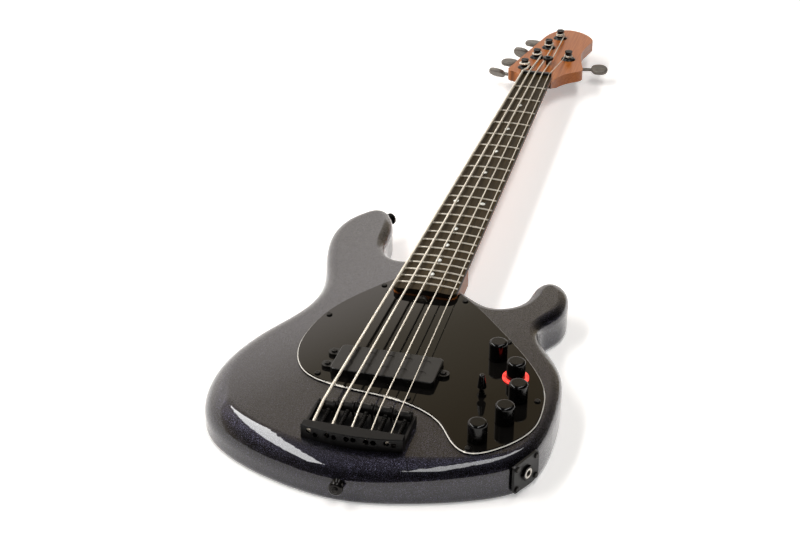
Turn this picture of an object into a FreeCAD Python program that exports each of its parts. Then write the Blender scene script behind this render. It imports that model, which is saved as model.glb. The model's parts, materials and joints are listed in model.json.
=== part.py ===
import FreeCAD
import Part
import math
import os
import re

# Five-string electric bass guitar lying on its back, in millimetres.
# X points to the treble side, Y along the neck to the head and Z out of the front of the body.
# The origin is on the back of the body, on the centre line, under the saddles' end of the scale.

Vector = FreeCAD.Vector
X_AXIS = Vector(1, 0, 0)
Y_AXIS = Vector(0, 1, 0)
Z_AXIS = Vector(0, 0, 1)

SIZES = {
    # Scale, fingerboard and neck
    "scale_length": 863.6,
    "fret_count": 22,
    "board_top": 52.0,
    "board_thickness": 6.5,
    "board_radius": 279.0,
    "board_end": 228.0,
    "board_end_width": 70.0,
    "nut_width": 44.4,
    "nut_length": 5.0,
    "nut_rise": 2.2,
    "fret_width": 2.6,
    "fret_height": 1.2,
    "fret_end_inset": 0.3,
    "dot_radius": 3.2,
    "dot_depth": 1.6,
    "octave_dot_offset": 16.0,
    "side_dot_radius": 1.1,
    "side_dot_drop": 4.5,
    "neck_end": 228.0,
    "heel_front": 296.0,
    "heel_round": 9.0,
    "neck_depth_nut": 14.5,
    "neck_depth_heel": 17.0,
    "neck_past_nut": 3.0,
    "pocket_depth": 16.0,
    "pocket_clearance": 0.2,
    "pocket_front": 330.0,
    # Headstock
    "head_face": 41.5,
    "head_thickness": 15.5,
    "head_slope_rise": 7.0,
    "head_slope_length": 24.0,
    # Body
    "body_thickness": 41.0,
    "horn_edge_round": 11.5,
    "bout_edge_round": 24.0,
    "back_edge_round": 6.0,
    # Truss rod
    "rod_radius": 2.5,
    "rod_drop": 6.0,
    "rod_head_gap": 16.0,
    "wheel_radius": 6.4,
    "wheel_length": 6.0,
    "wheel_gap": 1.0,
    "wheel_side_gap": 0.6,
    "spoke_hole_floor": 1.0,
    "spoke_hole_radius": 1.2,
    "running_gap": 0.06,
    # Neck joint
    "plate_thickness": 2.0,
    "plate_round": 5.0,
    "bolt_radius": 2.25,
    "bolt_head_radius": 4.5,
    "bolt_length": 34.0,
    "bolt_cross_length": 6.0,
    "bolt_cross_width": 1.2,
    "bolt_cross_depth": 1.0,
    # Pickguard
    "guard_thickness": 2.5,
    "guard_bevel": 1.6,
    # Pickup
    "pickup_x": 1.5,
    "pickup_y": 82.0,
    "pickup_length": 104.5,
    "pickup_width": 46.0,
    "pickup_top": 51.0,
    "pickup_depth": 22.0,
    "pickup_wall": 1.6,
    "pickup_round": 5.0,
    "pickup_top_round": 1.2,
    "pickup_gap": 0.5,
    "ear_radius": 6.0,
    "ear_thickness": 3.0,
    "bass_ear_reach": 6.25,
    "treble_ear_reach": 3.6,
    "pole_radius": 4.75,
    "pole_row_offset": 10.0,
    "pole_foot_rise": 2.0,
    "pole_sink": 0.3,
    "coil_wall": 3.5,
    # Strings
    "string_spacing": 18.5,
    "nut_spacing": 9.5,
    "saddle_string_height": 57.0,
    "nut_string_gap": 0.9,
    "tail_string_height": 50.5,
    "slot_gap": 0.05,
    "string_slot_gap": 0.15,
    "ball_radius": 2.6,
    "ball_length": 4.2,
    "ball_gap": 0.2,
    "ball_overlap": 0.4,
    "string_bend_radius": 12.0,
    "level_run": 14.0,
    "wrap_gap": 0.5,
    "wrap_foot_gap": 0.3,
    # Bridge
    "bridge_x": 3.1,
    "bridge_width": 97.0,
    "bridge_front": 6.0,
    "bridge_plate_thickness": 2.4,
    "tail_inner": -34.7,
    "tail_end_rear": -43.5,
    "tail_bow": 6.0,
    "tail_top": 55.0,
    "tail_edge_round": 0.8,
    "tail_overlap": 2.0,
    "bridge_screw_shift": -2.2,
    "bridge_screw_y": -20.0,
    "bridge_wall_thickness": 2.4,
    "bridge_wall_front": 5.0,
    "bridge_wall_height": 8.0,
    # Saddles
    "saddle_radius": 4.75,
    "saddle_flange_radius": 5.4,
    "saddle_flange_length": 1.6,
    "saddle_length": 17.0,
    "groove_depth": 1.2,
    "saddle_offset": 3.1,
    "intonation_offset": 6.5,
    "intonation_drop": 1.5,
    "intonation_radius": 1.5,
    "intonation_head_radius": 2.5,
    "intonation_head_length": 2.6,
    "intonation_front": 9.5,
    "intonation_head_sink": 0.5,
    "intonation_slot_width": 0.8,
    "intonation_slot_depth": 1.0,
    "grub_radius": 1.2,
    "grub_inset": 1.5,
    "grub_rise": 1.0,
    "grub_socket_radius": 0.66,
    "grub_socket_depth": 1.2,
    "spring_mean_radius": 2.35,
    "spring_wire_radius": 0.4,
    "spring_turns": 9,
    "spring_end_gap": 0.4,
    # Knobs, potentiometers and the lit ring
    "knob_radius": 9.25,
    "knob_height": 19.5,
    "knob_round": 2.5,
    "knob_gap": 0.6,
    "knob_recess_radius": 7.0,
    "knob_recess_depth": 3.0,
    "knob_cap": 4.0,
    "shaft_radius": 3.0,
    "bushing_radius": 3.6,
    "bushing_rise": 4.8,
    "pot_radius": 8.2,
    "pot_height": 9.0,
    "pot_nut_radius": 5.6,
    "pot_nut_height": 1.8,
    "ring_radius": 13.0,
    "ring_gap": 0.5,
    "ring_height": 2.2,
    "ring_round": 0.8,
    # Toggle switch
    "toggle_x": 100.5,
    "toggle_y": 63.0,
    "toggle_body_width": 13.0,
    "toggle_body_height": 11.0,
    "toggle_collar_radius": 3.0,
    "toggle_collar_height": 4.5,
    "toggle_mouth_radius": 2.55,
    "lever_mouth_gap": 0.25,
    "toggle_nut_radius": 4.6,
    "toggle_nut_height": 1.8,
    "lever_rod_radius": 1.2,
    "lever_ball_radius": 1.9,
    "lever_height": 23.5,
    "lever_tip_length": 16.0,
    "lever_tip_radius": 4.4,
    "lever_tip_end_radius": 2.7,
    # Cavities in the body
    "cavity_floor": 8.0,
    "pickup_rout_floor": 26.0,
    "rout_gap": 1.0,
    "wire_channel_length": 40.0,
    "wire_channel_width": 12.0,
    "wire_channel_height": 10.0,
    "wire_channel_overlap": 8.0,
    "board_plate_length": 60.0,
    "board_plate_width": 26.0,
    "board_plate_thickness": 1.6,
    "board_plate_inset": 8.0,
    "chip_width": 6.0,
    "chip_length": 9.0,
    "chip_height": 3.0,
    # Battery box in the back
    "box_x": -92.0,
    "box_y": 22.0,
    "box_length": 64.0,
    "box_width": 62.0,
    "box_depth": 24.0,
    "box_wall": 2.0,
    "box_gap": 0.2,
    "lid_thickness": 3.0,
    "lid_gap": 0.4,
    "lid_pin_radius": 1.0,
    "lid_pin_length": 1.4,
    "notch_radius": 6.0,
    "notch_depth": 1.2,
    "notch_inset": 4.0,
    "battery_length": 48.5,
    "battery_width": 26.2,
    "battery_height": 17.2,
    "battery_gap": 0.3,
    "battery_round": 1.5,
    "stud_offset": 6.0,
    "stud_radius": 3.2,
    "stud_length": 2.6,
    # Jack
    "jack_x": 158.1,
    "jack_y": -13.9,
    "jack_turn": -25.0,
    "jack_height": 20.5,
    "jack_plate_length": 38.0,
    "jack_plate_height": 31.0,
    "jack_plate_thickness": 2.5,
    "jack_plate_round": 5.0,
    "jack_seat_gap": 0.5,
    "jack_hole_depth": 40.0,
    "jack_sleeve_radius": 5.6,
    "jack_bore_radius": 3.2,
    "jack_bore_length": 28.0,
    "jack_end_wall": 2.0,
    "jack_nut_radius": 7.6,
    "jack_nut_height": 2.4,
    "jack_screw_inset": 4.5,
    # Strap buttons
    "button_base_radius": 6.0,
    "button_neck_radius": 4.0,
    "button_flange_radius": 7.0,
    "button_length": 9.6,
    "button_flange_length": 3.4,
    "button_seat": 1.2,
    "button_seat_gap": 0.1,
    "button_foot_length": 2.5,
    "button_flare_length": 2.0,
    "button_round": 2.4,
    "tail_button_height": 20.0,
    "horn_button_height": 26.0,
    # Tuners
    "tuner_pitch": 45.27,
    "post_radius": 5.5,
    "post_waist_radius": 4.8,
    "post_top": 54.0,
    "post_slot_width": 2.4,
    "post_slot_depth": 4.0,
    "post_cap": 1.6,
    "post_groove_gap": 0.1,
    "bushing_flange_radius": 10.5,
    "bushing_flange_height": 2.4,
    "bushing_land": 2.4,
    "bushing_sleeve_radius": 7.0,
    "bushing_sleeve_length": 9.0,
    "tuner_plate_thickness": 1.6,
    "tuner_plate_width": 26.0,
    "tuner_plate_below": 12.0,
    "tuner_plate_above": 22.5,
    "tuner_plate_round": 4.0,
    "tuner_screw_inset": 3.2,
    "gear_radius": 8.0,
    "gear_height": 5.5,
    "gear_gap": 0.4,
    "gear_teeth": 20,
    "tooth_depth": 1.4,
    "tooth_gap": 1.1,
    "worm_radius": 2.9,
    "worm_length": 11.0,
    "worm_gap": 0.15,
    "worm_turns": 5,
    "worm_pitch": 2.0,
    "worm_groove": 1.0,
    "key_shaft_radius": 2.4,
    "lug_width": 8.0,
    "lug_thickness": 3.0,
    "lug_gap": 0.3,
    "shaft_stub": 1.0,
    "key_reach": 47.5,
    "key_length": 23.0,
    "key_width": 25.0,
    "key_thickness": 6.5,
    # String tree
    "tree_past_nut": 71.4,
    "tree_stem_radius": 3.0,
    "tree_button_radius": 7.6,
    "tree_button_height": 3.6,
    "tree_string_gap": 0.7,
    "tree_string_rise": 5.2,
    "tree_shift": 3.0,
    "tree_button_round": 1.3,
    # Wood screws
    "screw_radius": 1.45,
    "screw_head_radius": 3.1,
    "screw_head_height": 1.6,
    "screw_length": 14.0,
    "short_screw_length": 9.0,
    "pilot_gap": 0.02,
}

doc = FreeCAD.newDocument("bass_guitar")
sheet = doc.addObject("Spreadsheet::Sheet", "Sizes")
for row_number, (alias, number) in enumerate(SIZES.items(), start=1):
    sheet.set("A%d" % row_number, alias)
    sheet.set("B%d" % row_number, str(number))
    sheet.setAlias("B%d" % row_number, alias)
doc.recompute()

nodes = {}


def size(alias):
    """Return one driving dimension from the sheet."""
    return float(sheet.get(alias))


def sized(text):
    """Return an expression in which each driving dimension is read from the sheet."""
    return re.sub(r"[a-z]\w*", lambda word: "Sizes." + word.group(0), str(text))


def bind(item, **properties):
    """Tie properties of a document object to expressions of the driving dimensions."""
    for name, text in properties.items():
        item.setExpression(name, sized(text))
    return item


def seat(item, x="0", y="0", z="0"):
    """Place a document object at expressions of the driving dimensions."""
    for axis, text in (("x", x), ("y", y), ("z", z)):
        item.setExpression("Placement.Base." + axis, sized(text))
    return item


def aim(item, direction):
    """Turn a document object so that its own Z points along a direction."""
    turned = FreeCAD.Rotation(Z_AXIS, direction)
    item.Placement = FreeCAD.Placement(item.Placement.Base, turned)
    return item


def box(name, length, width, height):
    item = doc.addObject("Part::Box", name)
    return bind(item, Length=length, Width=width, Height=height)


def cylinder(name, radius, height):
    item = doc.addObject("Part::Cylinder", name)
    return bind(item, Radius=radius, Height=height)


def fuse(name, items):
    item = doc.addObject("Part::MultiFuse", name)
    item.Shapes = items
    return item


def cut(name, base, tool):
    item = doc.addObject("Part::Cut", name)
    item.Base = base
    item.Tool = tool
    return item


def common(name, base, tool):
    item = doc.addObject("Part::Common", name)
    item.Base = base
    item.Tool = tool
    return item


def rounded(name, base, radius, choose):
    """Fillet the chosen edges of an object."""
    doc.recompute()
    item = doc.addObject("Part::Fillet", name)
    item.Base = base
    item.Edges = [(i, radius, radius) for i, edge in enumerate(base.Shape.Edges, start=1) if choose(edge)]
    return item


def shaped(name, shape):
    """Add a free-form shape to the document."""
    item = doc.addObject("Part::Feature", name)
    item.Shape = shape
    return item


def node(label, item):
    """Name one finished piece."""
    item.Label = label
    nodes[label] = item
    return item


def upright(edge):
    """Tell whether an edge is a straight vertical line."""
    flat = edge.BoundBox.XLength + edge.BoundBox.YLength
    return flat < FLAT < edge.BoundBox.ZLength


def at_height(edge, height):
    """Tell whether an edge lies flat at a height."""
    return abs(edge.BoundBox.ZMin - height) < FLAT and abs(edge.BoundBox.ZMax - height) < FLAT


def smooth_curve(points, closed=False):
    """Return a smooth curve through points of the plan."""
    curve = Part.BSplineCurve()
    curve.interpolate([Vector(x, y, 0) for x, y in points], PeriodicFlag=closed)
    return curve


def smooth_loop(points, pieces):
    """Return a smooth closed curve through points of the plan, in several pieces that run on smoothly."""
    whole = smooth_curve(points, closed=True)
    first = whole.FirstParameter
    step = (whole.LastParameter - first) / pieces
    loop = []
    for index in range(pieces):
        piece = whole.copy()
        piece.segment(first + step * index, first + step * (index + 1))
        loop.append(piece)
    return loop


def round_bar(start, direction, radius, length):
    """Return a cylinder from a start along a direction."""
    return Part.makeCylinder(radius, length, start, direction)


def arc_from(start, tangent, end):
    """Return the arc that leaves a start along a tangent and reaches an end."""
    chord = end - start
    along = (end - start).normalize()
    side = tangent - along * tangent.dot(along)
    if side.Length < 1e-6:
        return Part.LineSegment(start, end)
    half_turn = math.atan2(side.Length, tangent.dot(along))
    middle = start + chord * 0.5 + side.normalize() * (chord.Length / 2 * math.tan(half_turn / 2))
    return Part.Arc(start, middle, end)


def biarc(start, start_way, end, end_way):
    """Return two arcs that join two points and keep both directions."""
    gap = end - start
    ways = start_way + end_way
    spread = 2 * (1 - start_way.dot(end_way))
    reach = gap.dot(ways)
    if spread < 1e-9:
        step = gap.dot(gap) / (2 * reach)
    else:
        step = (math.sqrt(reach * reach + spread * gap.dot(gap)) - reach) / spread
    joint = (start + start_way * step + end - end_way * step) * 0.5
    joint_way = (end - end_way * step) - (start + start_way * step)
    joint_way = joint_way.normalize()
    return [arc_from(start, start_way, joint), arc_from(joint, joint_way, end)]


def tube(curves, radius):
    """Return a solid round tube along lines and arcs that run on smoothly."""
    path = Part.Wire([curve.toShape() for curve in curves])
    first = curves[0]
    start = first.value(first.FirstParameter)
    way = Vector(*first.tangent(first.FirstParameter)[0])
    ring = Part.Wire(Part.makeCircle(radius, start, way))
    shell = Part.BRepOffsetAPI.MakePipeShell(path)
    shell.add(ring)
    shell.build()
    shell.makeSolid()
    return shell.shape()


def least_gap(curves, radius, skip):
    """Measure a tube's least gap to itself on points further apart along it than a skipped length."""
    points = []
    along = 0.0
    for curve in curves:
        step = (curve.LastParameter - curve.FirstParameter) / POINTS_PER_CURVE
        for index in range(POINTS_PER_CURVE):
            point = curve.value(curve.FirstParameter + step * index)
            if points:
                along += (point - points[-1][1]).Length
            points.append((along, point))
    nearest = min((second - first).Length
                  for i, (first_along, first) in enumerate(points)
                  for second_along, second in points[i + 1:] if second_along - first_along > skip)
    return nearest - 2 * radius


POINTS_PER_CURVE = 6
THROUGH = 60.0
FLAT = 0.01
OVERRUN = 1.0
GUARD_RIM = 200.0
SCREW_CROWN_SHARE = 0.6

# Places that the pieces share

BODY_TOP = size("body_thickness")
GUARD_TOP = BODY_TOP + size("guard_thickness")
BOARD_TOP = size("board_top")
BOARD_BOTTOM = BOARD_TOP - size("board_thickness")
HEAD_FACE = size("head_face")
HEAD_BACK = HEAD_FACE - size("head_thickness")
NUT_LINE = size("scale_length")
FRETS_PER_OCTAVE = 12
STRINGS = ["b", "e", "a", "d", "g"]
STRING_RADIUS = {"b": 1.65, "e": 1.33, "a": 1.08, "d": 0.83, "g": 0.57}
STRING_TURNS = {"b": 1.0, "e": 1.25, "a": 1.5, "d": 2.0, "g": 2.25}

OUTLINE_PIECES = 6
BODY_OUTLINE = [
    (-34, 314), (-59, 315), (-71, 336), (-76, 374), (-85, 409), (-96, 423), (-109, 424.5),
    (-122, 413), (-133, 395), (-140.5, 367), (-138, 328), (-128.5, 291), (-116, 232), (-123, 189),
    (-148, 137), (-167, 78), (-167, 28), (-150, -15), (-116, -44), (-60, -67.5), (0, -77.5),
    (60, -67.5), (122, -45), (157, -20), (172, 25), (174, 75), (162, 140), (134, 191),
    (131.5, 207), (146, 240), (149.5, 268), (145, 289), (135, 301.5), (122.5, 304), (112.5, 296),
    (106, 268), (94, 245), (74, 237), (52, 248), (34, 263),
]

GUARD_OUTLINE = [
    (-41, 258.6), (-60, 231.6), (-88.5, 178), (-98, 128), (-95.5, 94.6), (-75, 57.6), (-34.5, 42.6),
    (28, 33.6), (74, 6.1), (96, -24.4), (106, -30), (134, -16.4), (148, 0), (160, 25.6), (162, 50),
    (158, 85), (140, 124), (92.5, 187.6), (63.5, 221.6), (43, 241.6),
]

CAVITY_OUTLINE = [
    (98, 148), (120, 133), (141, 104), (150, 68), (147, 30), (134, 2), (113, -19), (99, -11),
    (88, 20), (84, 60), (84, 110), (86, 140),
]

# The headstock's edges and the posts are placed from the nut line
HEAD_LEFT_SHOULDER = [(-22.2, 0), (-23.6, 11.4), (-30, 23.4), (-41, 30.9)]
HEAD_LEFT_CORNER = [(-41, 30.9), (-46, 34.9), (-47.6, 40.9)]
HEAD_TIP = [
    (-20.1, 180.5), (-11.8, 203.3), (-3, 214.4), (11.6, 220.4), (27.9, 215.9), (40.4, 206.4),
    (50, 193.2), (53.5, 182.4),
]
HEAD_HOOK = [(53.5, 182.4), (49, 158.4), (45.5, 134.4), (47.5, 108.4), (56, 70.4)]
HEAD_RIGHT_CORNER = [(56, 70.4), (56.8, 59.4), (50, 50.4)]
HEAD_RIGHT_SHOULDER = [(50, 50.4), (34, 34.4), (24.5, 14.4), (22.2, 0)]

KNOB_PLACES = [(102, 131), (126, 100.6), (135.6, 63.8), (130.6, 25.3), (112.4, -8.7)]
LIT_KNOB = 1

BOLT_PLACES = [(-21, 237), (21, 237), (21, 252), (-21, 276), (0, 268)]
NECK_PLATE_OUTLINE = [(-29, 229), (29, 229), (29, 256), (-4, 281), (-29, 286)]

GUARD_SCREWS = [
    (-46.5, 241), (-85, 167), (-62.3, 57.9), (33.9, 38.7), (107.6, -24.5), (154, 66.3), (106.6, 162.9),
    (45.5, 231),
]
EAR_OFFSETS = [(-1, 14.5), (-1, -8.5), (1, 4.0)]

FIRST_POST = Vector(-25.4, 49.9, 0)
POST_ROW_WAY = Vector(28.9, 132.7, 0).normalize()
TREBLE_POST = Vector(30.3, 98.6, 0)


def post_place(name):
    """Return where a tuner's post stands: four in a row on the bass side, one on the treble side."""
    offset = FIRST_POST + POST_ROW_WAY * (STRINGS.index(name) * size("tuner_pitch"))
    if name == "g":
        offset = TREBLE_POST
    return offset.x, NUT_LINE + offset.y


POST_PLACES = {name: post_place(name) for name in STRINGS}
LEFT_EDGE_WAY = Vector(27.5, 139.6, 0).normalize()
RIGHT_EDGE_WAY = Vector(-10, 43, 0).normalize()


def width_at(y):
    """Return the width of the tapered fingerboard at a place along the neck."""
    share = (y - size("board_end")) / (NUT_LINE - size("board_end"))
    return size("board_end_width") + share * (size("nut_width") - size("board_end_width"))


def fret_place(number):
    """Return where a fret crosses the centre line."""
    return NUT_LINE * 2 ** (-number / FRETS_PER_OCTAVE)


def string_x(name):
    """Return a string's offset at the saddles."""
    return (STRINGS.index(name) - 2) * size("string_spacing")


def nut_x(name):
    """Return a string's offset at the nut."""
    return (STRINGS.index(name) - 2) * size("nut_spacing")


def crown_drop(x):
    """Return how far the fingerboard's arch falls at an offset from the centre line."""
    return x * x / (2 * size("board_radius"))


def saddle_string_point(name):
    """Return the corner of a string's axis over its saddle."""
    x = string_x(name)
    return Vector(x, 0, size("saddle_string_height") - crown_drop(x))


def nut_string_point(name):
    """Return the corner of a string's axis in its nut slot."""
    x = nut_x(name)
    rise = size("fret_height") + size("nut_string_gap") + STRING_RADIUS[name]
    return Vector(x, NUT_LINE + size("nut_length") / 2, BOARD_TOP + rise - crown_drop(x))


def outward(name):
    """Return the way in which a tuner's key points."""
    if name == "g":
        return Vector(RIGHT_EDGE_WAY.y, -RIGHT_EDGE_WAY.x, 0)
    return Vector(-LEFT_EDGE_WAY.y, LEFT_EDGE_WAY.x, 0)


def edge_way(name):
    """Return the way along the headstock's edge beside a tuner."""
    return RIGHT_EDGE_WAY if name == "g" else LEFT_EDGE_WAY


def ear_place(side, along):
    """Return the middle of a pickup ear from its side of the cover and its offset along the strings."""
    reach = size("bass_ear_reach") if side < 0 else size("treble_ear_reach")
    return size("pickup_x") + side * (size("pickup_length") / 2 + reach), size("pickup_y") + along


EAR_PLACES = [ear_place(side, along) for side, along in EAR_OFFSETS]

# Screws: each has a seat, a way in and a length

screws = []


def add_screw(place, way, length):
    screws.append((place, way, length))


DOWN = Vector(0, 0, -1)
for x, y in GUARD_SCREWS:
    add_screw(Vector(x, y, GUARD_TOP), DOWN, size("screw_length"))
for x, y in EAR_PLACES:
    add_screw(Vector(x, y, GUARD_TOP + size("ear_thickness")), DOWN, size("screw_length"))
for name in STRINGS:
    bridge_screw = Vector(string_x(name) + size("bridge_screw_shift"), size("bridge_screw_y"),
                          BODY_TOP + size("bridge_plate_thickness"))
    add_screw(bridge_screw, DOWN, size("screw_length"))

JACK_WAY = Vector(math.cos(math.radians(size("jack_turn"))), math.sin(math.radians(size("jack_turn"))), 0)
JACK_SIDE = Vector(-JACK_WAY.y, JACK_WAY.x, 0)
JACK_SEAT = Vector(size("jack_x"), size("jack_y"), size("jack_height"))
jack_half_length = size("jack_plate_length") / 2 - size("jack_screw_inset")
jack_half_height = size("jack_plate_height") / 2 - size("jack_screw_inset")
for side in (-1, 1):
    for level in (-1, 1):
        corner = JACK_SEAT + JACK_SIDE * (side * jack_half_length) + Z_AXIS * (level * jack_half_height)
        add_screw(corner + JACK_WAY * size("jack_plate_thickness"), JACK_WAY * -1, size("screw_length"))

TAIL_BUTTON = (Vector(0, -77.5, size("tail_button_height")), Vector(0, -1, 0))
HORN_BUTTON = (Vector(-94, 421.6, size("horn_button_height")), Vector(0.5, 0.87, 0).normalize())
button_top = size("button_length") - size("button_seat")
for place, way in (TAIL_BUTTON, HORN_BUTTON):
    add_screw(place + way * button_top, way * -1, size("button_length") + size("screw_length"))

tuner_screw_start = HEAD_BACK - size("tuner_plate_thickness")
for name in STRINGS:
    post = Vector(*POST_PLACES[name], tuner_screw_start)
    half_width = size("tuner_plate_width") / 2 - size("tuner_screw_inset")
    for u in (-half_width, half_width):
        for v in (size("tuner_screw_inset") - size("tuner_plate_below"),
                  size("tuner_plate_above") - size("tuner_screw_inset")):
            add_screw(post + outward(name) * u + edge_way(name) * v, Z_AXIS, size("short_screw_length"))


def tree_x():
    """Return the middle between the two strings that the tree holds down."""
    return (nut_x("a") + POST_PLACES["a"][0] + nut_x("d") + POST_PLACES["d"][0]) / 4 + size("tree_shift")


TREE_LINE = NUT_LINE + size("tree_past_nut")
TREE_STRING_HEIGHT = HEAD_FACE + size("tree_string_rise")
TREE_BUTTON_BOTTOM = TREE_STRING_HEIGHT + STRING_RADIUS["a"] + size("tree_string_gap")
tree_top = TREE_BUTTON_BOTTOM + size("tree_button_height")
add_screw(Vector(tree_x(), TREE_LINE, tree_top), DOWN, tree_top - HEAD_FACE + size("short_screw_length"))


def screw_solid(place, way, length):
    """Return a round-headed screw whose head rests on its seat."""
    shank = round_bar(place, way, size("screw_radius"), length)
    head = round_bar(place, way * -1, size("screw_head_radius"), size("screw_head_height"))
    head = head.makeFillet(size("screw_head_height") * SCREW_CROWN_SHARE, [head.Edges[0]])
    return shank.fuse(head).removeSplitter()


def drill_solid(place, way, length):
    """Return the hole for a screw, a little wider and deeper than its shank."""
    radius = size("screw_radius") + size("pilot_gap")
    return round_bar(place, way, radius, length + size("pilot_gap"))


drills = shaped("screw_holes", Part.makeCompound([drill_solid(*screw) for screw in screws]))
node("wood_screws", shaped("wood_screws", Part.makeCompound([screw_solid(*screw) for screw in screws])))

# Body: a slab with a smooth outline, rounded over at both faces, then routed and drilled

body_blank = doc.addObject("PartDesign::Body", "body_blank")
body_sketch = body_blank.newObject("Sketcher::SketchObject", "body_outline")
origin_planes = [plane for plane in body_blank.Origin.OriginFeatures if plane.Role == "XY_Plane"]
body_sketch.AttachmentSupport = (origin_planes[0], [""])
body_sketch.MapMode = "FlatFace"
for piece in smooth_loop(BODY_OUTLINE, OUTLINE_PIECES):
    body_sketch.addGeometry(piece, False)
body_pad = body_blank.newObject("PartDesign::Pad", "body_slab")
body_pad.Profile = body_sketch
bind(body_pad, Length="body_thickness")
doc.recompute()

# The top edge's radius at both ends of each outline piece, from the bass horn round the tail to the neck
HORN_ROUND, BOUT_ROUND, BACK_ROUND = size("horn_edge_round"), size("bout_edge_round"), size("back_edge_round")
EDGE_ROUNDS = [(HORN_ROUND, HORN_ROUND), (HORN_ROUND, BOUT_ROUND), (BOUT_ROUND, BOUT_ROUND),
               (BOUT_ROUND, HORN_ROUND), (HORN_ROUND, HORN_ROUND), (HORN_ROUND, HORN_ROUND)]
slab_edges = list(enumerate(body_pad.Shape.Edges, start=1))
top_edges = [number for number, edge in slab_edges if at_height(edge, BODY_TOP)]
back_edges = [number for number, edge in slab_edges if at_height(edge, 0)]
body_round = doc.addObject("Part::Fillet", "body_roundover")
body_round.Base = body_blank
body_round.Edges = ([(number, *rounds) for number, rounds in zip(top_edges, EDGE_ROUNDS)]
                    + [(number, BACK_ROUND, BACK_ROUND) for number in back_edges])
doc.recompute()


def half_width(y, side_gap):
    """Return the expression for half the tapered width at a place along the neck, with a gap."""
    share = "(%s - board_end) / (scale_length - board_end)" % y
    return "(board_end_width + %s * (nut_width - board_end_width)) / 2 + %s" % (share, side_gap)


def at_neck_end(edge):
    """Tell whether an upright edge lies at the neck's end."""
    return upright(edge) and edge.BoundBox.YMax < size("neck_end") + OVERRUN


def tapered_block(name, start, end, side_gap, bottom, top):
    """Return a block that follows the neck's taper, with its sides moved out by a gap."""
    item = doc.addObject("Part::Wedge", name)
    near = half_width("(%s)" % start, side_gap)
    far = half_width("(%s)" % end, side_gap)
    bind(item, Xmin="-(%s)" % near, Xmax=near, X2min="-(%s)" % far, X2max=far, Ymin=start, Ymax=end)
    return bind(item, Zmin=bottom, Z2min=bottom, Zmax=top, Z2max=top)


pocket = rounded(
    "neck_pocket",
    tapered_block("pocket_taper", "neck_end - pocket_clearance", "pocket_front", "pocket_clearance",
                  "body_thickness - pocket_depth", "board_top"),
    size("heel_round"), at_neck_end)
wheel_slot = box("wheel_slot", "2 * wheel_radius + 2 * wheel_side_gap", "2 * wheel_gap + wheel_length",
                 "2 * wheel_radius + board_thickness")
seat(wheel_slot, "-wheel_radius - wheel_side_gap", "neck_end - 2 * wheel_gap - wheel_length",
     "board_top - board_thickness - rod_drop - wheel_radius - wheel_side_gap")

pickup_rout = box("pickup_rout", "pickup_length + 2 * rout_gap", "pickup_width + 2 * rout_gap",
                  "body_thickness")
seat(pickup_rout, "pickup_x - pickup_length / 2 - rout_gap", "pickup_y - pickup_width / 2 - rout_gap",
     "pickup_rout_floor")

cavity_face = Part.Face(Part.Wire([piece.toShape() for piece in smooth_loop(CAVITY_OUTLINE, OUTLINE_PIECES)]))
cavity = doc.addObject("Part::Extrusion", "control_cavity")
cavity.Base = shaped("cavity_outline", cavity_face)
cavity.DirMode = "Custom"
cavity.Dir = Z_AXIS
cavity.Solid = True
bind(cavity, LengthFwd="body_thickness")
seat(cavity, z="cavity_floor")

wire_way = box("wire_channel", "wire_channel_length", "wire_channel_width", "wire_channel_height")
seat(wire_way, "pickup_x + pickup_length / 2 - wire_channel_overlap", "pickup_y - wire_channel_width / 2",
     "pickup_rout_floor")

box_recess = box("battery_recess", "box_width", "box_length", "box_depth")
seat(box_recess, "box_x - box_width / 2", "box_y - box_length / 2", "0")


def plate_outline(grow):
    """Return the neck plate's face, grown by a gap all round."""
    corners = [Vector(x, y, 0) for x, y in NECK_PLATE_OUTLINE]
    wire = Part.makePolygon(corners + [corners[0]])
    return Part.Face(wire.makeOffset2D(grow, join=2) if grow else wire)


def plate_block(grow):
    """Return the neck plate's solid with rounded corners."""
    block = plate_outline(grow).extrude(Vector(0, 0, size("plate_thickness")))
    return block.makeFillet(size("plate_round") + grow, [edge for edge in block.Edges if upright(edge)])


plate_recess = shaped("plate_recess", plate_block(size("pocket_clearance")))
bolt_holes = shaped("bolt_holes", Part.makeCompound([
    round_bar(Vector(x, y, 0), Z_AXIS, size("bolt_radius") + size("pilot_gap"),
              size("bolt_length") + size("pilot_gap"))
    for x, y in BOLT_PLACES
]))


def jack_block(grow, depth):
    """Return a block with the jack plate's rounded outline, grown by a gap all round."""
    length = size("jack_plate_length") + 2 * grow
    height = size("jack_plate_height") + 2 * grow
    block = Part.makeBox(length, height, depth, Vector(-length / 2, -height / 2, 0))
    return block.makeFillet(size("jack_plate_round") + grow, [edge for edge in block.Edges if upright(edge)])


jack_flat = jack_block(size("jack_seat_gap"), THROUGH)
JACK_PLACEMENT = FreeCAD.Placement(JACK_SEAT, FreeCAD.Rotation(JACK_SIDE, Z_AXIS, JACK_WAY, "ZXY"))
jack_flat.Placement = JACK_PLACEMENT
jack_seat_cut = shaped("jack_seat_cut", jack_flat)
jack_hole = shaped("jack_hole", round_bar(
    JACK_SEAT, JACK_WAY * -1, size("jack_sleeve_radius") + size("rout_gap"), size("jack_hole_depth")))
button_cuts = shaped("button_seats", Part.makeCompound([
    round_bar(place - way * size("button_seat"), way, size("button_base_radius") + size("button_seat_gap"),
              THROUGH)
    for place, way in (TAIL_BUTTON, HORN_BUTTON)
]))

body_stage = cut("drilled_body", body_round, drills)
for tool in (bolt_holes, plate_recess, box_recess, pickup_rout, wire_way, cavity, jack_hole, jack_seat_cut,
             button_cuts, pocket, wheel_slot):
    body_stage = cut("body_without_" + tool.Name, body_stage, tool)
node("body", body_stage)

# Fingerboard, frets and dots

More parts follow.
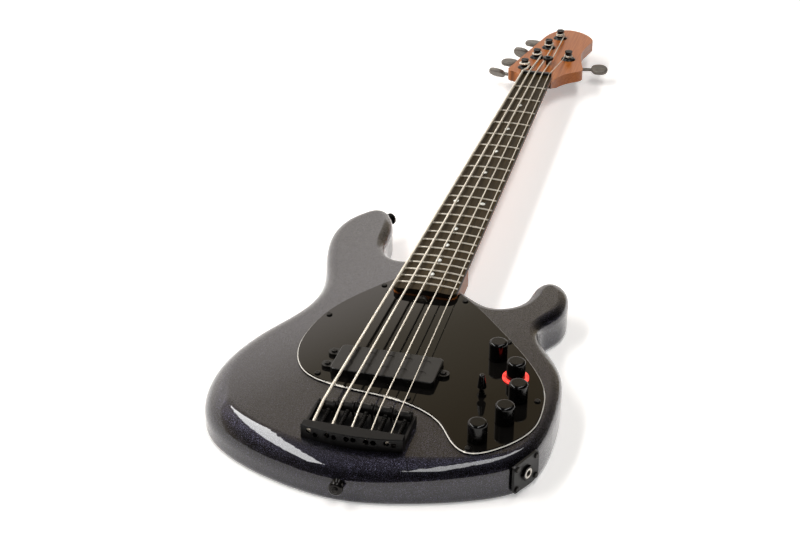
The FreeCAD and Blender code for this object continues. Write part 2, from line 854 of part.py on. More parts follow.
board_blank = common(
    "board_blank",
    rounded("board_rounded",
            tapered_block("board_taper", "board_end", "scale_length", "0", "board_top - board_thickness",
                          "board_top + fret_height"),
            size("heel_round"), at_neck_end),
    aim(seat(cylinder("board_arch", "board_radius", "scale_length"), z="board_top - board_radius"), Y_AXIS),
)

dot_bars = []
for number in (3, 5, 7, 9, 12, 15, 17, 19, 21):
    middle = (fret_place(number) + fret_place(number - 1)) / 2
    offsets = [-size("octave_dot_offset"), size("octave_dot_offset")] if number == 12 else [0]
    for offset in offsets:
        floor = BOARD_TOP - crown_drop(offset) - size("dot_depth")
        dot_bars.append(round_bar(Vector(offset, middle, floor), Z_AXIS, size("dot_radius"), THROUGH))
    side = Vector(-width_at(middle) / 2 + size("dot_depth"), middle, BOARD_TOP - size("side_dot_drop"))
    dot_bars.append(round_bar(side, X_AXIS * -1, size("side_dot_radius"), THROUGH))
dot_tools = shaped("dot_bars", Part.makeCompound(dot_bars))
node("fingerboard", cut("fingerboard", board_blank, dot_tools))
node("position_dots", common("position_dots", dot_tools, board_blank))


def fret_solid(number):
    """Return one fret: a crowned bead that follows the board's arch."""
    y = fret_place(number)
    half = size("fret_width") / 2
    bead = Part.Arc(Vector(0, y - half, BOARD_TOP), Vector(0, y, BOARD_TOP + size("fret_height")),
                    Vector(0, y + half, BOARD_TOP)).toShape()
    floor = Part.LineSegment(Vector(0, y + half, BOARD_TOP), Vector(0, y - half, BOARD_TOP)).toShape()
    face = Part.Face(Part.Wire([bead, floor]))
    centre = Vector(0, 0, BOARD_TOP - size("board_radius"))
    half_turn = math.degrees(math.asin((width_at(y) / 2 - size("fret_end_inset")) / size("board_radius")))
    face.rotate(centre, Y_AXIS, -half_turn)
    return face.revolve(centre, Y_AXIS, 2 * half_turn)


node("frets", shaped("frets", Part.makeCompound([
    fret_solid(number) for number in range(1, int(size("fret_count")) + 1)
])))

# Strings: ball end, straight runs, small bends over the saddle, the nut and the tree, and turns on the post


def bend(before, corner, after, radius):
    """Return where a bend of a radius starts and ends at a corner, with both directions."""
    way_in = (corner - before).normalize()
    way_out = (after - corner).normalize()
    turn = math.acos(max(-1.0, min(1.0, way_in.dot(way_out))))
    setback = radius * math.tan(turn / 2)
    return corner - way_in * setback, way_in, corner + way_out * setback, way_out


def wrap_start(name):
    """Return the lowest turn's height on a post."""
    flange_top = HEAD_FACE + size("bushing_flange_height")
    return flange_top + size("wrap_foot_gap") + STRING_RADIUS[name]


def wrap_side(name):
    """Return the side of the post on which the string arrives."""
    return -1 if name == "g" else 1


def wrap_radius(name):
    """Return the radius of a string's turns around its post."""
    return size("post_waist_radius") + STRING_RADIUS[name] + size("slot_gap")


def touch_point(name, source):
    """Return where the string meets its post's lowest turn, and its way there."""
    post = Vector(*POST_PLACES[name], wrap_start(name))
    flat = Vector(post.x - source.x, post.y - source.y, 0)
    distance = flat.Length
    lean = math.asin(wrap_radius(name) / distance)
    bearing = math.atan2(flat.y, flat.x) - wrap_side(name) * lean
    way = Vector(math.cos(bearing), math.sin(bearing), 0)
    normal = Vector(way.y, -way.x, 0) * wrap_side(name)
    return post + normal * wrap_radius(name), way


def wrap_curves(name, start):
    """Return quarter-turn arcs that climb around the post."""
    post = Vector(*POST_PLACES[name], 0)
    radius = wrap_radius(name)
    pitch = 2 * STRING_RADIUS[name] + size("wrap_gap")
    side = wrap_side(name)
    begin = math.atan2(start.y - post.y, start.x - post.x)
    quarters = int(round(STRING_TURNS[name] * 4))
    slope = pitch / (2 * math.pi * radius)

    def on_turn(quarter):
        angle = begin + side * quarter * math.pi / 2
        climb = start.z + pitch * quarter / 4
        point = post + Vector(radius * math.cos(angle), radius * math.sin(angle), climb)
        way = Vector(-side * math.sin(angle), side * math.cos(angle), slope)
        return point, way.normalize()

    curves = []
    for quarter in range(quarters):
        point, way = on_turn(quarter)
        if quarter == 0:
            way = Vector(way.x, way.y, 0).normalize()
        next_point, next_way = on_turn(quarter + 1)
        curves += biarc(point, way, next_point, next_way)
    return curves


def string_corners(name):
    """Return the corners of a string's axis from the tail to the post."""
    tail = Vector(string_x(name), size("tail_inner"), size("tail_string_height"))
    ball = Vector(string_x(name), size("tail_end_rear") + size("ball_length"), size("tail_string_height"))
    corners = [ball, tail, saddle_string_point(name), nut_string_point(name)]
    if name in ("a", "d"):
        share = (TREE_LINE - corners[-1].y) / (POST_PLACES[name][1] - corners[-1].y)
        arrival = touch_point(name, corners[-1])[0]
        x = corners[-1].x + share * (arrival.x - corners[-1].x)
        drop = STRING_RADIUS["a"] - STRING_RADIUS[name]
        corners.append(Vector(x, TREE_LINE, TREE_STRING_HEIGHT + drop))
    return corners


def string_solid(name):
    """Return one string with its ball end."""
    corners = string_corners(name)
    arrival, arrival_way = touch_point(name, corners[-1])
    level = arrival - arrival_way * size("level_run")
    stops = corners + [level, arrival]
    curves = []
    here = stops[0]
    for before, corner, after in zip(stops, stops[1:], stops[2:]):
        bend_start, way_in, bend_end = bend(before, corner, after, size("string_bend_radius"))[:3]
        curves.append(Part.LineSegment(here, bend_start))
        curves.append(arc_from(bend_start, way_in, bend_end))
        here = bend_end
    curves.append(Part.LineSegment(here, arrival))
    turns = wrap_curves(name, arrival)
    if STRING_TURNS[name] > 1:
        gap = least_gap(turns, STRING_RADIUS[name], math.pi * wrap_radius(name))
        print("string_%s: least gap between turns %.2f mm" % (name, gap))
    wire = tube(curves + turns, STRING_RADIUS[name])
    ball = round_bar(corners[0] - Y_AXIS * size("ball_length"), Y_AXIS, size("ball_radius"),
                     size("ball_length") + size("ball_overlap"))
    return wire.fuse(ball).removeSplitter()


for name in STRINGS:
    node("string_" + name, shaped("string_" + name, string_solid(name)))


def string_slots(name, here, gap):
    """Return the straight grooves for a string that bends over a piece, run past each other at the bend."""
    corners = string_corners(name)
    arrival, way = touch_point(name, corners[-1])
    stops = corners + [arrival - way * size("level_run")]
    place = stops[here]
    radius = STRING_RADIUS[name] + gap
    grooves = []
    for other in (here - 1, here + 1):
        way = (stops[other] - place).normalize()
        grooves.append(round_bar(place - way * radius, way, radius, GROOVE_LENGTH))
    return grooves


GROOVE_LENGTH = 20.0
SADDLE_STOP = 2
NUT_STOP = 3

# Nut

nut_blank = tapered_block("nut_block", "scale_length", "scale_length + nut_length", "0",
                          "board_top - board_thickness", "board_top + fret_height + nut_rise")
nut_slots = []
for name in STRINGS:
    nut_slots += string_slots(name, NUT_STOP, size("string_slot_gap"))
    top = nut_string_point(name)
    width = 2 * STRING_RADIUS[name] + size("string_slot_gap")
    mouth_corner = top - Vector(width / 2, 1.5 * size("nut_length"), 0)
    mouth = Part.makeBox(width, 3 * size("nut_length"), THROUGH, mouth_corner)
    nut_slots.append(mouth)
node("nut", cut("nut", nut_blank, shaped("nut_slots", nut_slots[0].multiFuse(nut_slots[1:]))))

# Neck: heel block, tapering shaft, headstock


def shaft_section(y, depth):
    """Return the neck's half-oval section under the fingerboard."""
    half = width_at(y) / 2
    left = Vector(-half, y, BOARD_BOTTOM)
    right = Vector(half, y, BOARD_BOTTOM)
    below = Vector(0, y, BOARD_BOTTOM - depth)
    oval = Part.Ellipse(right, below, Vector(0, y, BOARD_BOTTOM))
    start = oval.parameter(left)
    end = oval.parameter(right)
    arc = Part.ArcOfEllipse(oval, start, end)
    if (arc.value((arc.FirstParameter + arc.LastParameter) / 2) - below).Length > depth:
        arc = Part.ArcOfEllipse(oval, end, start)
    first = arc.value(arc.FirstParameter)
    last = arc.value(arc.LastParameter)
    return Part.Wire([arc.toShape(), Part.LineSegment(last, first).toShape()])


SHAFT_OVERLAP = 12.0
heel = rounded(
    "heel_block",
    tapered_block("heel_taper", "neck_end", "heel_front", "0", "body_thickness - pocket_depth",
                  "board_top - board_thickness"),
    size("heel_round"), at_neck_end)
shaft = doc.addObject("Part::Loft", "neck_shaft")
shaft.Sections = [
    shaped("shaft_heel_end", shaft_section(size("heel_front") - SHAFT_OVERLAP, size("neck_depth_heel"))),
    shaped("shaft_nut_end", shaft_section(NUT_LINE + size("nut_length") + size("neck_past_nut"),
                                          size("neck_depth_nut"))),
]
shaft.Solid = True
shaft.Ruled = True


def head_outline():
    """Return the headstock's face from its named edges, with the nut line as its foot."""
    edges = []
    for points in (HEAD_LEFT_SHOULDER, HEAD_LEFT_CORNER):
        edges.append(smooth_curve(points).toShape())
    edges.append(Part.LineSegment(Vector(*HEAD_LEFT_CORNER[-1], 0), Vector(*HEAD_TIP[0], 0)).toShape())
    for points in (HEAD_TIP, HEAD_HOOK, HEAD_RIGHT_CORNER, HEAD_RIGHT_SHOULDER):
        edges.append(smooth_curve(points).toShape())
    nut_ends = [Vector(*HEAD_RIGHT_SHOULDER[-1], 0), Vector(*HEAD_LEFT_SHOULDER[0], 0)]
    edges.append(Part.LineSegment(*nut_ends).toShape())
    return Part.Face(Part.Wire(edges))


head = doc.addObject("Part::Extrusion", "headstock")
head.Base = shaped("head_outline", head_outline())
head.DirMode = "Custom"
head.Dir = Z_AXIS
head.Solid = True
bind(head, LengthFwd="head_thickness")
seat(head, y="scale_length", z="head_face - head_thickness")
slope_foot = Vector(-THROUGH, NUT_LINE - OVERRUN, HEAD_BACK - OVERRUN)
slope_corners = [slope_foot, slope_foot + Z_AXIS * (size("head_slope_rise") + OVERRUN),
                 slope_foot + Y_AXIS * (size("head_slope_length") + OVERRUN)]
slope = Part.Face(Part.makePolygon(slope_corners + slope_corners[:1])).extrude(X_AXIS * 2 * THROUGH)
sloped_head = cut("sloped_headstock", head, shaped("head_slope", slope))

ROD_HEIGHT = BOARD_BOTTOM - size("rod_drop")
WHEEL_START = size("neck_end") - size("wheel_gap") - size("wheel_length")
rod_channel = cylinder("rod_channel", "rod_radius + running_gap",
                       "scale_length - rod_head_gap - neck_end + running_gap")
aim(seat(rod_channel, "0", "neck_end", "board_top - board_thickness - rod_drop"), Y_AXIS)
tuner_holes = shaped("tuner_holes", Part.makeCompound([
    round_bar(Vector(*POST_PLACES[name], 0), Z_AXIS, size("bushing_sleeve_radius") + size("pilot_gap"),
              THROUGH)
    for name in STRINGS
]))
neck_blank = fuse("neck_blank", [heel, shaft, sloped_head])
neck_stage = neck_blank
for tool in (rod_channel, tuner_holes, bolt_holes, drills):
    neck_stage = cut("neck_without_" + tool.Name, neck_stage, tool)
node("neck", neck_stage)

rod = cylinder("rod", "rod_radius", "scale_length - rod_head_gap - neck_end + wheel_gap + wheel_length")
aim(seat(rod, "0", "neck_end - wheel_gap - wheel_length", "board_top - board_thickness - rod_drop"), Y_AXIS)
wheel = cylinder("wheel", "wheel_radius", "wheel_length")
aim(seat(wheel, "0", "neck_end - wheel_gap - wheel_length", "board_top - board_thickness - rod_drop"), Y_AXIS)
wheel_centre = Vector(0, WHEEL_START + size("wheel_length") / 2, ROD_HEIGHT)
SPOKE_HOLES = 6
spokes = []
for index in range(SPOKE_HOLES):
    angle = 2 * math.pi * index / SPOKE_HOLES
    way = Vector(math.sin(angle), 0, math.cos(angle))
    spokes.append(round_bar(wheel_centre + way * (size("rod_radius") + size("spoke_hole_floor")), way,
                            size("spoke_hole_radius"), THROUGH))
node("truss_rod", cut("truss_rod", fuse("rod_and_wheel", [rod, wheel]),
                      shaped("spoke_holes", Part.makeCompound(spokes))))

# Neck plate and bolts

plate_holes = shaped("plate_holes", Part.makeCompound([
    Part.makeCone(size("bolt_head_radius") + size("pilot_gap"), size("bolt_radius") + size("pilot_gap"),
                  size("plate_thickness"), Vector(x, y, 0))
    for x, y in BOLT_PLACES
]))
node("neck_plate", cut("neck_plate", shaped("plate_blank", plate_block(0)), plate_holes))


def bolt_solid(x, y):
    """Return one countersunk neck bolt."""
    head_cone = Part.makeCone(size("bolt_head_radius"), size("bolt_radius"), size("plate_thickness"),
                              Vector(x, y, 0))
    shank = round_bar(Vector(x, y, size("plate_thickness")), Z_AXIS, size("bolt_radius"),
                      size("bolt_length") - size("plate_thickness"))
    long_side = size("bolt_cross_length")
    short_side = size("bolt_cross_width")
    bolt = head_cone.fuse(shank)
    for length, width in ((long_side, short_side), (short_side, long_side)):
        corner = Vector(x - length / 2, y - width / 2, 0)
        bolt = bolt.cut(Part.makeBox(length, width, size("bolt_cross_depth"), corner))
    return bolt


node("neck_bolts", shaped("neck_bolts", Part.makeCompound([bolt_solid(x, y) for x, y in BOLT_PLACES])))

# Pickguard

guard_edges = [
    smooth_curve(GUARD_OUTLINE).toShape(),
    Part.LineSegment(Vector(*GUARD_OUTLINE[-1], 0), Vector(*GUARD_OUTLINE[0], 0)).toShape(),
]
guard_slab = doc.addObject("Part::Extrusion", "guard_slab")
guard_slab.Base = shaped("guard_outline", Part.Face(Part.Wire(guard_edges)))
guard_slab.DirMode = "Custom"
guard_slab.Dir = Z_AXIS
guard_slab.Solid = True
bind(guard_slab, LengthFwd="guard_thickness")
seat(guard_slab, z="body_thickness")
doc.recompute()
guard_bevel = doc.addObject("Part::Chamfer", "guard_bevel")
guard_bevel.Base = guard_slab
guard_bevel.Edges = [
    (i, size("guard_bevel"), size("guard_bevel")) for i, edge in enumerate(guard_slab.Shape.Edges, start=1)
    if at_height(edge, GUARD_TOP) and edge.Length > GUARD_RIM
]
pickup_window = box("pickup_window", "pickup_length + 2 * pickup_gap", "pickup_width + 2 * pickup_gap",
                    "body_thickness")
seat(pickup_window, "pickup_x - pickup_length / 2 - pickup_gap", "pickup_y - pickup_width / 2 - pickup_gap",
     "pickup_rout_floor")
window_round = rounded("window_round", pickup_window, size("pickup_round") + size("pickup_gap"), upright)
guard_holes = [
    round_bar(Vector(x, y, 0), Z_AXIS, size("bushing_radius") + size("running_gap"), THROUGH)
    for x, y in KNOB_PLACES
]
guard_holes.append(round_bar(Vector(size("toggle_x"), size("toggle_y"), 0), Z_AXIS,
                             size("toggle_collar_radius") + size("running_gap"), THROUGH))
guard_cuts = fuse("guard_cuts", [
    pocket, wheel_slot, window_round, shaped("guard_holes", Part.makeCompound(guard_holes)),
])
node("pickguard", cut("pickguard", cut("cut_guard", guard_bevel, guard_cuts), drills))

# Pickup: cover with three ears, pole pieces and two coils

cover_block = box("cover_block", "pickup_length", "pickup_width", "pickup_depth")
seat(cover_block, "pickup_x - pickup_length / 2", "pickup_y - pickup_width / 2", "pickup_top - pickup_depth")
cover_sides = rounded("cover_sides", cover_block, size("pickup_round"), upright)
cover_outer = rounded("cover_outer", cover_sides, size("pickup_top_round"),
                      lambda edge: at_height(edge, size("pickup_top")))
cover_hollow = box("cover_hollow", "pickup_length - 2 * pickup_wall", "pickup_width - 2 * pickup_wall",
                   "pickup_depth - pickup_wall")
seat(cover_hollow, "pickup_x - pickup_length / 2 + pickup_wall", "pickup_y - pickup_width / 2 + pickup_wall",
     "pickup_top - pickup_depth")
cover_inner = rounded("cover_inner", cover_hollow, size("pickup_round") - size("pickup_wall"), upright)

pole_places = [
    (size("pickup_x") + string_x(name), size("pickup_y") + side * size("pole_row_offset"))
    for side in (-1, 1) for name in STRINGS
]
pole_holes = [
    round_bar(Vector(x, y, BODY_TOP), Z_AXIS, size("pole_radius") + size("running_gap"), THROUGH)
    for x, y in pole_places
]
ears = []
for x, y in EAR_PLACES:
    side = -1 if x < 0 else 1
    inner = size("pickup_x") + side * (size("pickup_length") / 2 - size("pickup_wall") / 2)
    tab = round_bar(Vector(x, y, GUARD_TOP), Z_AXIS, size("ear_radius"), size("ear_thickness"))
    arm = Part.makeBox(abs(x - inner), 2 * size("ear_radius"), size("ear_thickness"),
                       Vector(min(x, inner), y - size("ear_radius"), GUARD_TOP))
    ears.append(tab.fuse(arm))
hollow_cover = cut("hollow_cover", cover_outer, cover_inner)
cover_shell = fuse("cover_shell", [hollow_cover, shaped("ears", Part.makeCompound(ears))])
cover_holes = shaped("pole_holes", Part.makeCompound(pole_holes))
node("pickup_cover", cut("pickup_cover", cut("bored_cover", cover_shell, cover_holes), drills))

POLE_FOOT = size("pickup_top") - size("pickup_depth") + size("pole_foot_rise")
node("pickup_pole_pieces", shaped("pickup_pole_pieces", Part.makeCompound([
    round_bar(Vector(x, y, POLE_FOOT), Z_AXIS, size("pole_radius"),
              size("pickup_top") - POLE_FOOT - size("pole_sink"))
    for x, y in pole_places
])))


def coil_solid(side):
    """Return one coil: an oval ring around a row of pole pieces."""
    half = 2 * size("string_spacing")
    height = size("pickup_depth") - size("pickup_wall") - size("pole_foot_rise") - size("slot_gap")
    middle = Vector(size("pickup_x"), size("pickup_y") + side * size("pole_row_offset"), POLE_FOOT)

    def oval(radius):
        bar = Part.makeBox(2 * half, 2 * radius, height, middle - Vector(half, radius, 0))
        ends = [round_bar(middle + X_AXIS * end, Z_AXIS, radius, height) for end in (-half, half)]
        return bar.multiFuse(ends).removeSplitter()

    return oval(size("pole_radius") + size("coil_wall")).cut(oval(size("pole_radius") + size("slot_gap")))


node("pickup_coils", shaped("pickup_coils", Part.makeCompound([coil_solid(-1), coil_solid(1)])))

# Bridge: plate, side walls and a bowed tail block

bridge_plate = box("bridge_base", "bridge_width", "bridge_front - tail_inner + tail_overlap",
                   "bridge_plate_thickness")
seat(bridge_plate, "bridge_x - bridge_width / 2", "tail_inner - tail_overlap", "body_thickness")
bridge_walls = []
for name, offset in (("bass_wall", "0"), ("treble_wall", "bridge_width - bridge_wall_thickness")):
    wall = box(name, "bridge_wall_thickness", "bridge_wall_front - tail_inner + tail_overlap",
               "bridge_wall_height")
    seat(wall, "bridge_x - bridge_width / 2 + " + offset, "tail_inner - tail_overlap", "body_thickness")
    bridge_walls.append(wall)

tail_left = size("bridge_x") - size("bridge_width") / 2
tail_right = size("bridge_x") + size("bridge_width") / 2
tail_bow = Part.Arc(Vector(tail_left, size("tail_end_rear"), 0),
                    Vector(size("bridge_x"), size("tail_end_rear") - size("tail_bow"), 0),
                    Vector(tail_right, size("tail_end_rear"), 0)).toShape()
tail_line = Part.makePolygon([
    Vector(tail_right, size("tail_end_rear"), 0), Vector(tail_right, size("tail_inner"), 0),
    Vector(tail_left, size("tail_inner"), 0), Vector(tail_left, size("tail_end_rear"), 0),
])
tail_block = doc.addObject("Part::Extrusion", "tail_block")
tail_block.Base = shaped("tail_outline", Part.Face(Part.Wire([tail_bow] + tail_line.Edges)))
tail_block.DirMode = "Custom"
tail_block.Dir = Z_AXIS
tail_block.Solid = True
bind(tail_block, LengthFwd="tail_top - body_thickness")
seat(tail_block, z="body_thickness")
tail_round = rounded("tail_round", tail_block, size("tail_edge_round"),
                     lambda edge: at_height(edge, size("tail_top")))


def saddle_axis_height(name):
    """Return the height of a saddle barrel's axis under its string."""
    groove_floor = saddle_string_point(name).z - STRING_RADIUS[name] - size("string_slot_gap")
    return groove_floor + size("groove_depth") - size("saddle_radius")


def intonation_place(name, y):
    """Return a point on an intonation screw's axis."""
    x = string_x(name) + size("intonation_offset")
    return Vector(x, y, saddle_axis_height(name) - size("intonation_drop"))


INTONATION_SEAT = size("tail_end_rear") + size("intonation_head_length") + size("intonation_head_sink")
BORE_START = size("tail_end_rear") - GROOVE_LENGTH
bridge_holes = []
for name in STRINGS:
    mouth = Vector(string_x(name), BORE_START, size("tail_string_height"))
    bridge_holes.append(round_bar(mouth, Y_AXIS, STRING_RADIUS[name] + size("ball_gap"), THROUGH))
    ball_reach = GROOVE_LENGTH + size("ball_length") + size("ball_overlap") + size("slot_gap")
    bridge_holes.append(round_bar(mouth, Y_AXIS, size("ball_radius") + size("ball_gap"), ball_reach))
    start = intonation_place(name, BORE_START)
    bridge_holes.append(round_bar(start, Y_AXIS, size("intonation_radius") + size("running_gap"), THROUGH))
    head_bore = size("intonation_head_radius") + size("ball_gap")
    bridge_holes.append(round_bar(start, Y_AXIS, head_bore, INTONATION_SEAT - start.y))
bridge_blank = fuse("bridge_blank", [bridge_plate, tail_round] + bridge_walls)
bridge_bored = cut("bridge_bored", bridge_blank, shaped("bridge_holes", Part.makeCompound(bridge_holes)))
node("bridge_plate", cut("bridge_plate", bridge_bored, drills))


def intonation_screw(name):
    """Return one intonation screw: a slotted head behind the tail block and a long shank."""
    seat_point = intonation_place(name, INTONATION_SEAT - size("slot_gap"))
    head_solid = round_bar(seat_point, Y_AXIS * -1, size("intonation_head_radius"),
                           size("intonation_head_length"))
    shank = round_bar(seat_point, Y_AXIS, size("intonation_radius"), size("intonation_front") - seat_point.y)
    slot_length = 2 * size("intonation_head_radius")
    slot_width = size("intonation_slot_width")
    slot_corner = seat_point - Vector(slot_length / 2, size("intonation_head_length"), slot_width / 2)
    slot = Part.makeBox(slot_length, size("intonation_slot_depth"), slot_width, slot_corner)
    return head_solid.fuse(shank).cut(slot)


def saddle_parts(name):
    """Return one saddle barrel with its two height screws as separate solids."""
    left = string_x(name) + size("saddle_offset") - size("saddle_length") / 2
    start = Vector(left, 0, saddle_axis_height(name))
    barrel = round_bar(start, X_AXIS, size("saddle_radius"), size("saddle_length"))
    flange_far = start + X_AXIS * (size("saddle_length") - size("saddle_flange_length"))
    flanges = [
        round_bar(place, X_AXIS, size("saddle_flange_radius"), size("saddle_flange_length"))
        for place in (start, flange_far)
    ]
    barrel = barrel.multiFuse(flanges)
    tools = string_slots(name, SADDLE_STOP, size("string_slot_gap"))
    width = 2 * STRING_RADIUS[name] + size("string_slot_gap")
    tools.append(Part.makeBox(width, GROOVE_LENGTH, GROOVE_LENGTH,
                             saddle_string_point(name) - Vector(width / 2, GROOVE_LENGTH / 2, 0)))
    screw_hole = intonation_place(name, -THROUGH / 2)
    tools.append(round_bar(screw_hole, Y_AXIS, size("intonation_radius") + size("running_gap"), THROUGH))
    grubs = []
    floor = BODY_TOP + size("bridge_plate_thickness") + size("slot_gap")
    for end in (size("grub_inset"), size("saddle_length") - size("grub_inset")):
        foot = Vector(left + end, 0, floor)
        reach = start.z + size("saddle_radius") + size("grub_rise") - floor
        grub = round_bar(foot, Z_AXIS, size("grub_radius"), reach)
        socket_floor = foot + Z_AXIS * (reach - size("grub_socket_depth"))
        socket = round_bar(socket_floor, Z_AXIS, size("grub_socket_radius"), THROUGH)
        grubs.append(grub.cut(socket))
        tools.append(round_bar(foot, Z_AXIS, size("grub_radius") + size("pilot_gap"), THROUGH))
    barrel = barrel.cut(tools[0].multiFuse(tools[1:])).removeSplitter()
    return Part.makeCompound([barrel] + grubs)


def spring_solid(name):
    """Return one coil spring around its intonation screw, as a single tube."""
    begin = size("tail_inner") + size("spring_wire_radius") + size("spring_end_gap")
    end = -size("saddle_flange_radius") - size("spring_wire_radius") - size("spring_end_gap")
    quarters = int(size("spring_turns")) * 4
    radius = size("spring_mean_radius")
    pitch = (end - begin) / size("spring_turns")
    slope = pitch / (2 * math.pi * radius)

    def on_turn(quarter):
        angle = quarter * math.pi / 2
        centre = intonation_place(name, begin + pitch * quarter / 4)
        point = centre + Vector(radius * math.cos(angle), 0, radius * math.sin(angle))
        way = Vector(-math.sin(angle), slope, math.cos(angle))
        return point, way.normalize()

    curves = []
    for quarter in range(quarters):
        point, way = on_turn(quarter)
        next_point, next_way = on_turn(quarter + 1)
        curves += biarc(point, way, next_point, next_way)
    gap = least_gap(curves, size("spring_wire_radius"), math.pi * radius)
    print("spring_%s: least gap between turns %.2f mm" % (name, gap))
    return tube(curves, size("spring_wire_radius"))


for name in STRINGS:
    node("intonation_screw_" + name, shaped("intonation_screw_" + name, intonation_screw(name)))
    node("saddle_" + name, shaped("saddle_" + name, saddle_parts(name)))
springs = Part.makeCompound([spring_solid(name) for name in STRINGS])
node("intonation_springs", shaped("intonation_springs", springs))

# Knobs with their shafts, potentiometers and the lit ring


def knob_node(index, x, y):
    """Make one knob with its potentiometer shaft."""
    skirt = cylinder("knob_blank_%d" % index, "knob_radius", "knob_height")
    seat(skirt, str(x), str(y), "body_thickness + guard_thickness + knob_gap")
    top = GUARD_TOP + size("knob_gap") + size("knob_height")
    domed = rounded("knob_dome_%d" % index, skirt, size("knob_round"), lambda edge: at_height(edge, top))
    bore = cylinder("knob_bore_%d" % index, "shaft_radius", "knob_height - knob_cap")
    seat(bore, str(x), str(y), "body_thickness + guard_thickness + knob_gap")
    recess = cylinder("knob_recess_%d" % index, "knob_recess_radius", "knob_recess_depth")
    seat(recess, str(x), str(y), "body_thickness + guard_thickness + knob_gap")
    cap = cut("knob_cap_%d" % index, domed, fuse("knob_hollow_%d" % index, [bore, recess]))
    stem = cylinder("knob_stem_%d" % index, "shaft_radius",
                    "guard_thickness + knob_gap + knob_height - knob_cap + pot_height / 2")
    seat(stem, str(x), str(y), "body_thickness - pot_height / 2")
    pair = doc.addObject("Part::Compound", "knob_%d" % index)
    pair.Links = [cap, stem]
    node("knob_%d" % index, pair)


def hexagon(place, radius, height):
    """Return a six-sided nut blank."""
    corners = [
        place + Vector(radius * math.cos(math.pi * turn / 3), radius * math.sin(math.pi * turn / 3), 0)
        for turn in range(6)
    ]
    return Part.Face(Part.makePolygon(corners + [corners[0]])).extrude(Vector(0, 0, height))


def potentiometer(x, y):
    """Return a potentiometer's can with its threaded collar, and its nut."""
    can = round_bar(Vector(x, y, BODY_TOP - size("pot_height")), Z_AXIS, size("pot_radius"),
                    size("pot_height"))
    collar = round_bar(Vector(x, y, BODY_TOP), Z_AXIS, size("bushing_radius"), size("bushing_rise"))
    bore = round_bar(Vector(x, y, BODY_TOP - size("pot_height") / 2), Z_AXIS,
                     size("shaft_radius") + size("running_gap"), THROUGH)
    foot = Vector(x, y, GUARD_TOP)
    nut_ring = hexagon(foot, size("pot_nut_radius"), size("pot_nut_height"))
    nut_ring = nut_ring.cut(round_bar(foot, Z_AXIS, size("bushing_radius") + size("pilot_gap"), THROUGH))
    return [can.fuse(collar).cut(bore), nut_ring]


pot_parts = []
for index, (x, y) in enumerate(KNOB_PLACES, start=1):
    knob_node(index, x, y)
    pot_parts += potentiometer(x, y)
node("potentiometers", shaped("potentiometers", Part.makeCompound(pot_parts)))

lit_x, lit_y = KNOB_PLACES[LIT_KNOB]
ring_disc = seat(cylinder("ring_disc", "ring_radius", "ring_height"), str(lit_x), str(lit_y),
                 "body_thickness + guard_thickness")
ring_edge = rounded("ring_edge", ring_disc, size("ring_round"),
                    lambda edge: at_height(edge, GUARD_TOP + size("ring_height")))
ring_bore = seat(cylinder("ring_bore", "knob_radius + ring_gap", "ring_height"), str(lit_x), str(lit_y),
                 "body_thickness + guard_thickness")
node("led_ring", cut("led_ring", ring_edge, ring_bore))

# Toggle switch and its lever

TOGGLE = Vector(size("toggle_x"), size("toggle_y"), 0)
toggle_can = box("toggle_can", "toggle_body_width", "toggle_body_width", "toggle_body_height")
seat(toggle_can, "toggle_x - toggle_body_width / 2", "toggle_y - toggle_body_width / 2",
     "body_thickness - toggle_body_height")
toggle_collar = cylinder("toggle_collar", "toggle_collar_radius", "guard_thickness + toggle_collar_height")
seat(toggle_collar, "toggle_x", "toggle_y", "body_thickness")
LEVER_PIVOT = TOGGLE + Z_AXIS * GUARD_TOP
lever_bore = Part.makeSphere(size("lever_ball_radius") + size("running_gap"), LEVER_PIVOT)
lever_mouth = Part.makeCone(size("lever_rod_radius") + size("lever_mouth_gap"), size("toggle_mouth_radius"),
                            size("toggle_collar_height"), LEVER_PIVOT)
lever_space = shaped("lever_space", lever_bore.fuse(lever_mouth))
toggle_nut_blank = hexagon(LEVER_PIVOT, size("toggle_nut_radius"), size("toggle_nut_height"))
toggle_nut = shaped("toggle_nut", toggle_nut_blank.cut(
    round_bar(LEVER_PIVOT, Z_AXIS, size("toggle_collar_radius") + size("pilot_gap"), THROUGH)))
toggle_frame = cut("toggle_frame", fuse("toggle_blank", [toggle_can, toggle_collar]), lever_space)
toggle_pair = doc.addObject("Part::Compound", "toggle_switch")
toggle_pair.Links = [toggle_frame, toggle_nut]
node("toggle_switch", toggle_pair)

TIP_START = size("lever_height") - size("lever_tip_length")

# Shares of the lever tip's radii and length that give it the outline of a bat
TIP_BULGE_SHARE = 0.2
TIP_FOOT_SHARE = 0.55
TIP_SIDE_SHARE = 0.88
TIP_SIDE_RISE_SHARE = 0.28
TIP_END_SHARE = 0.5
TIP_CORNER_SHARE = 0.15


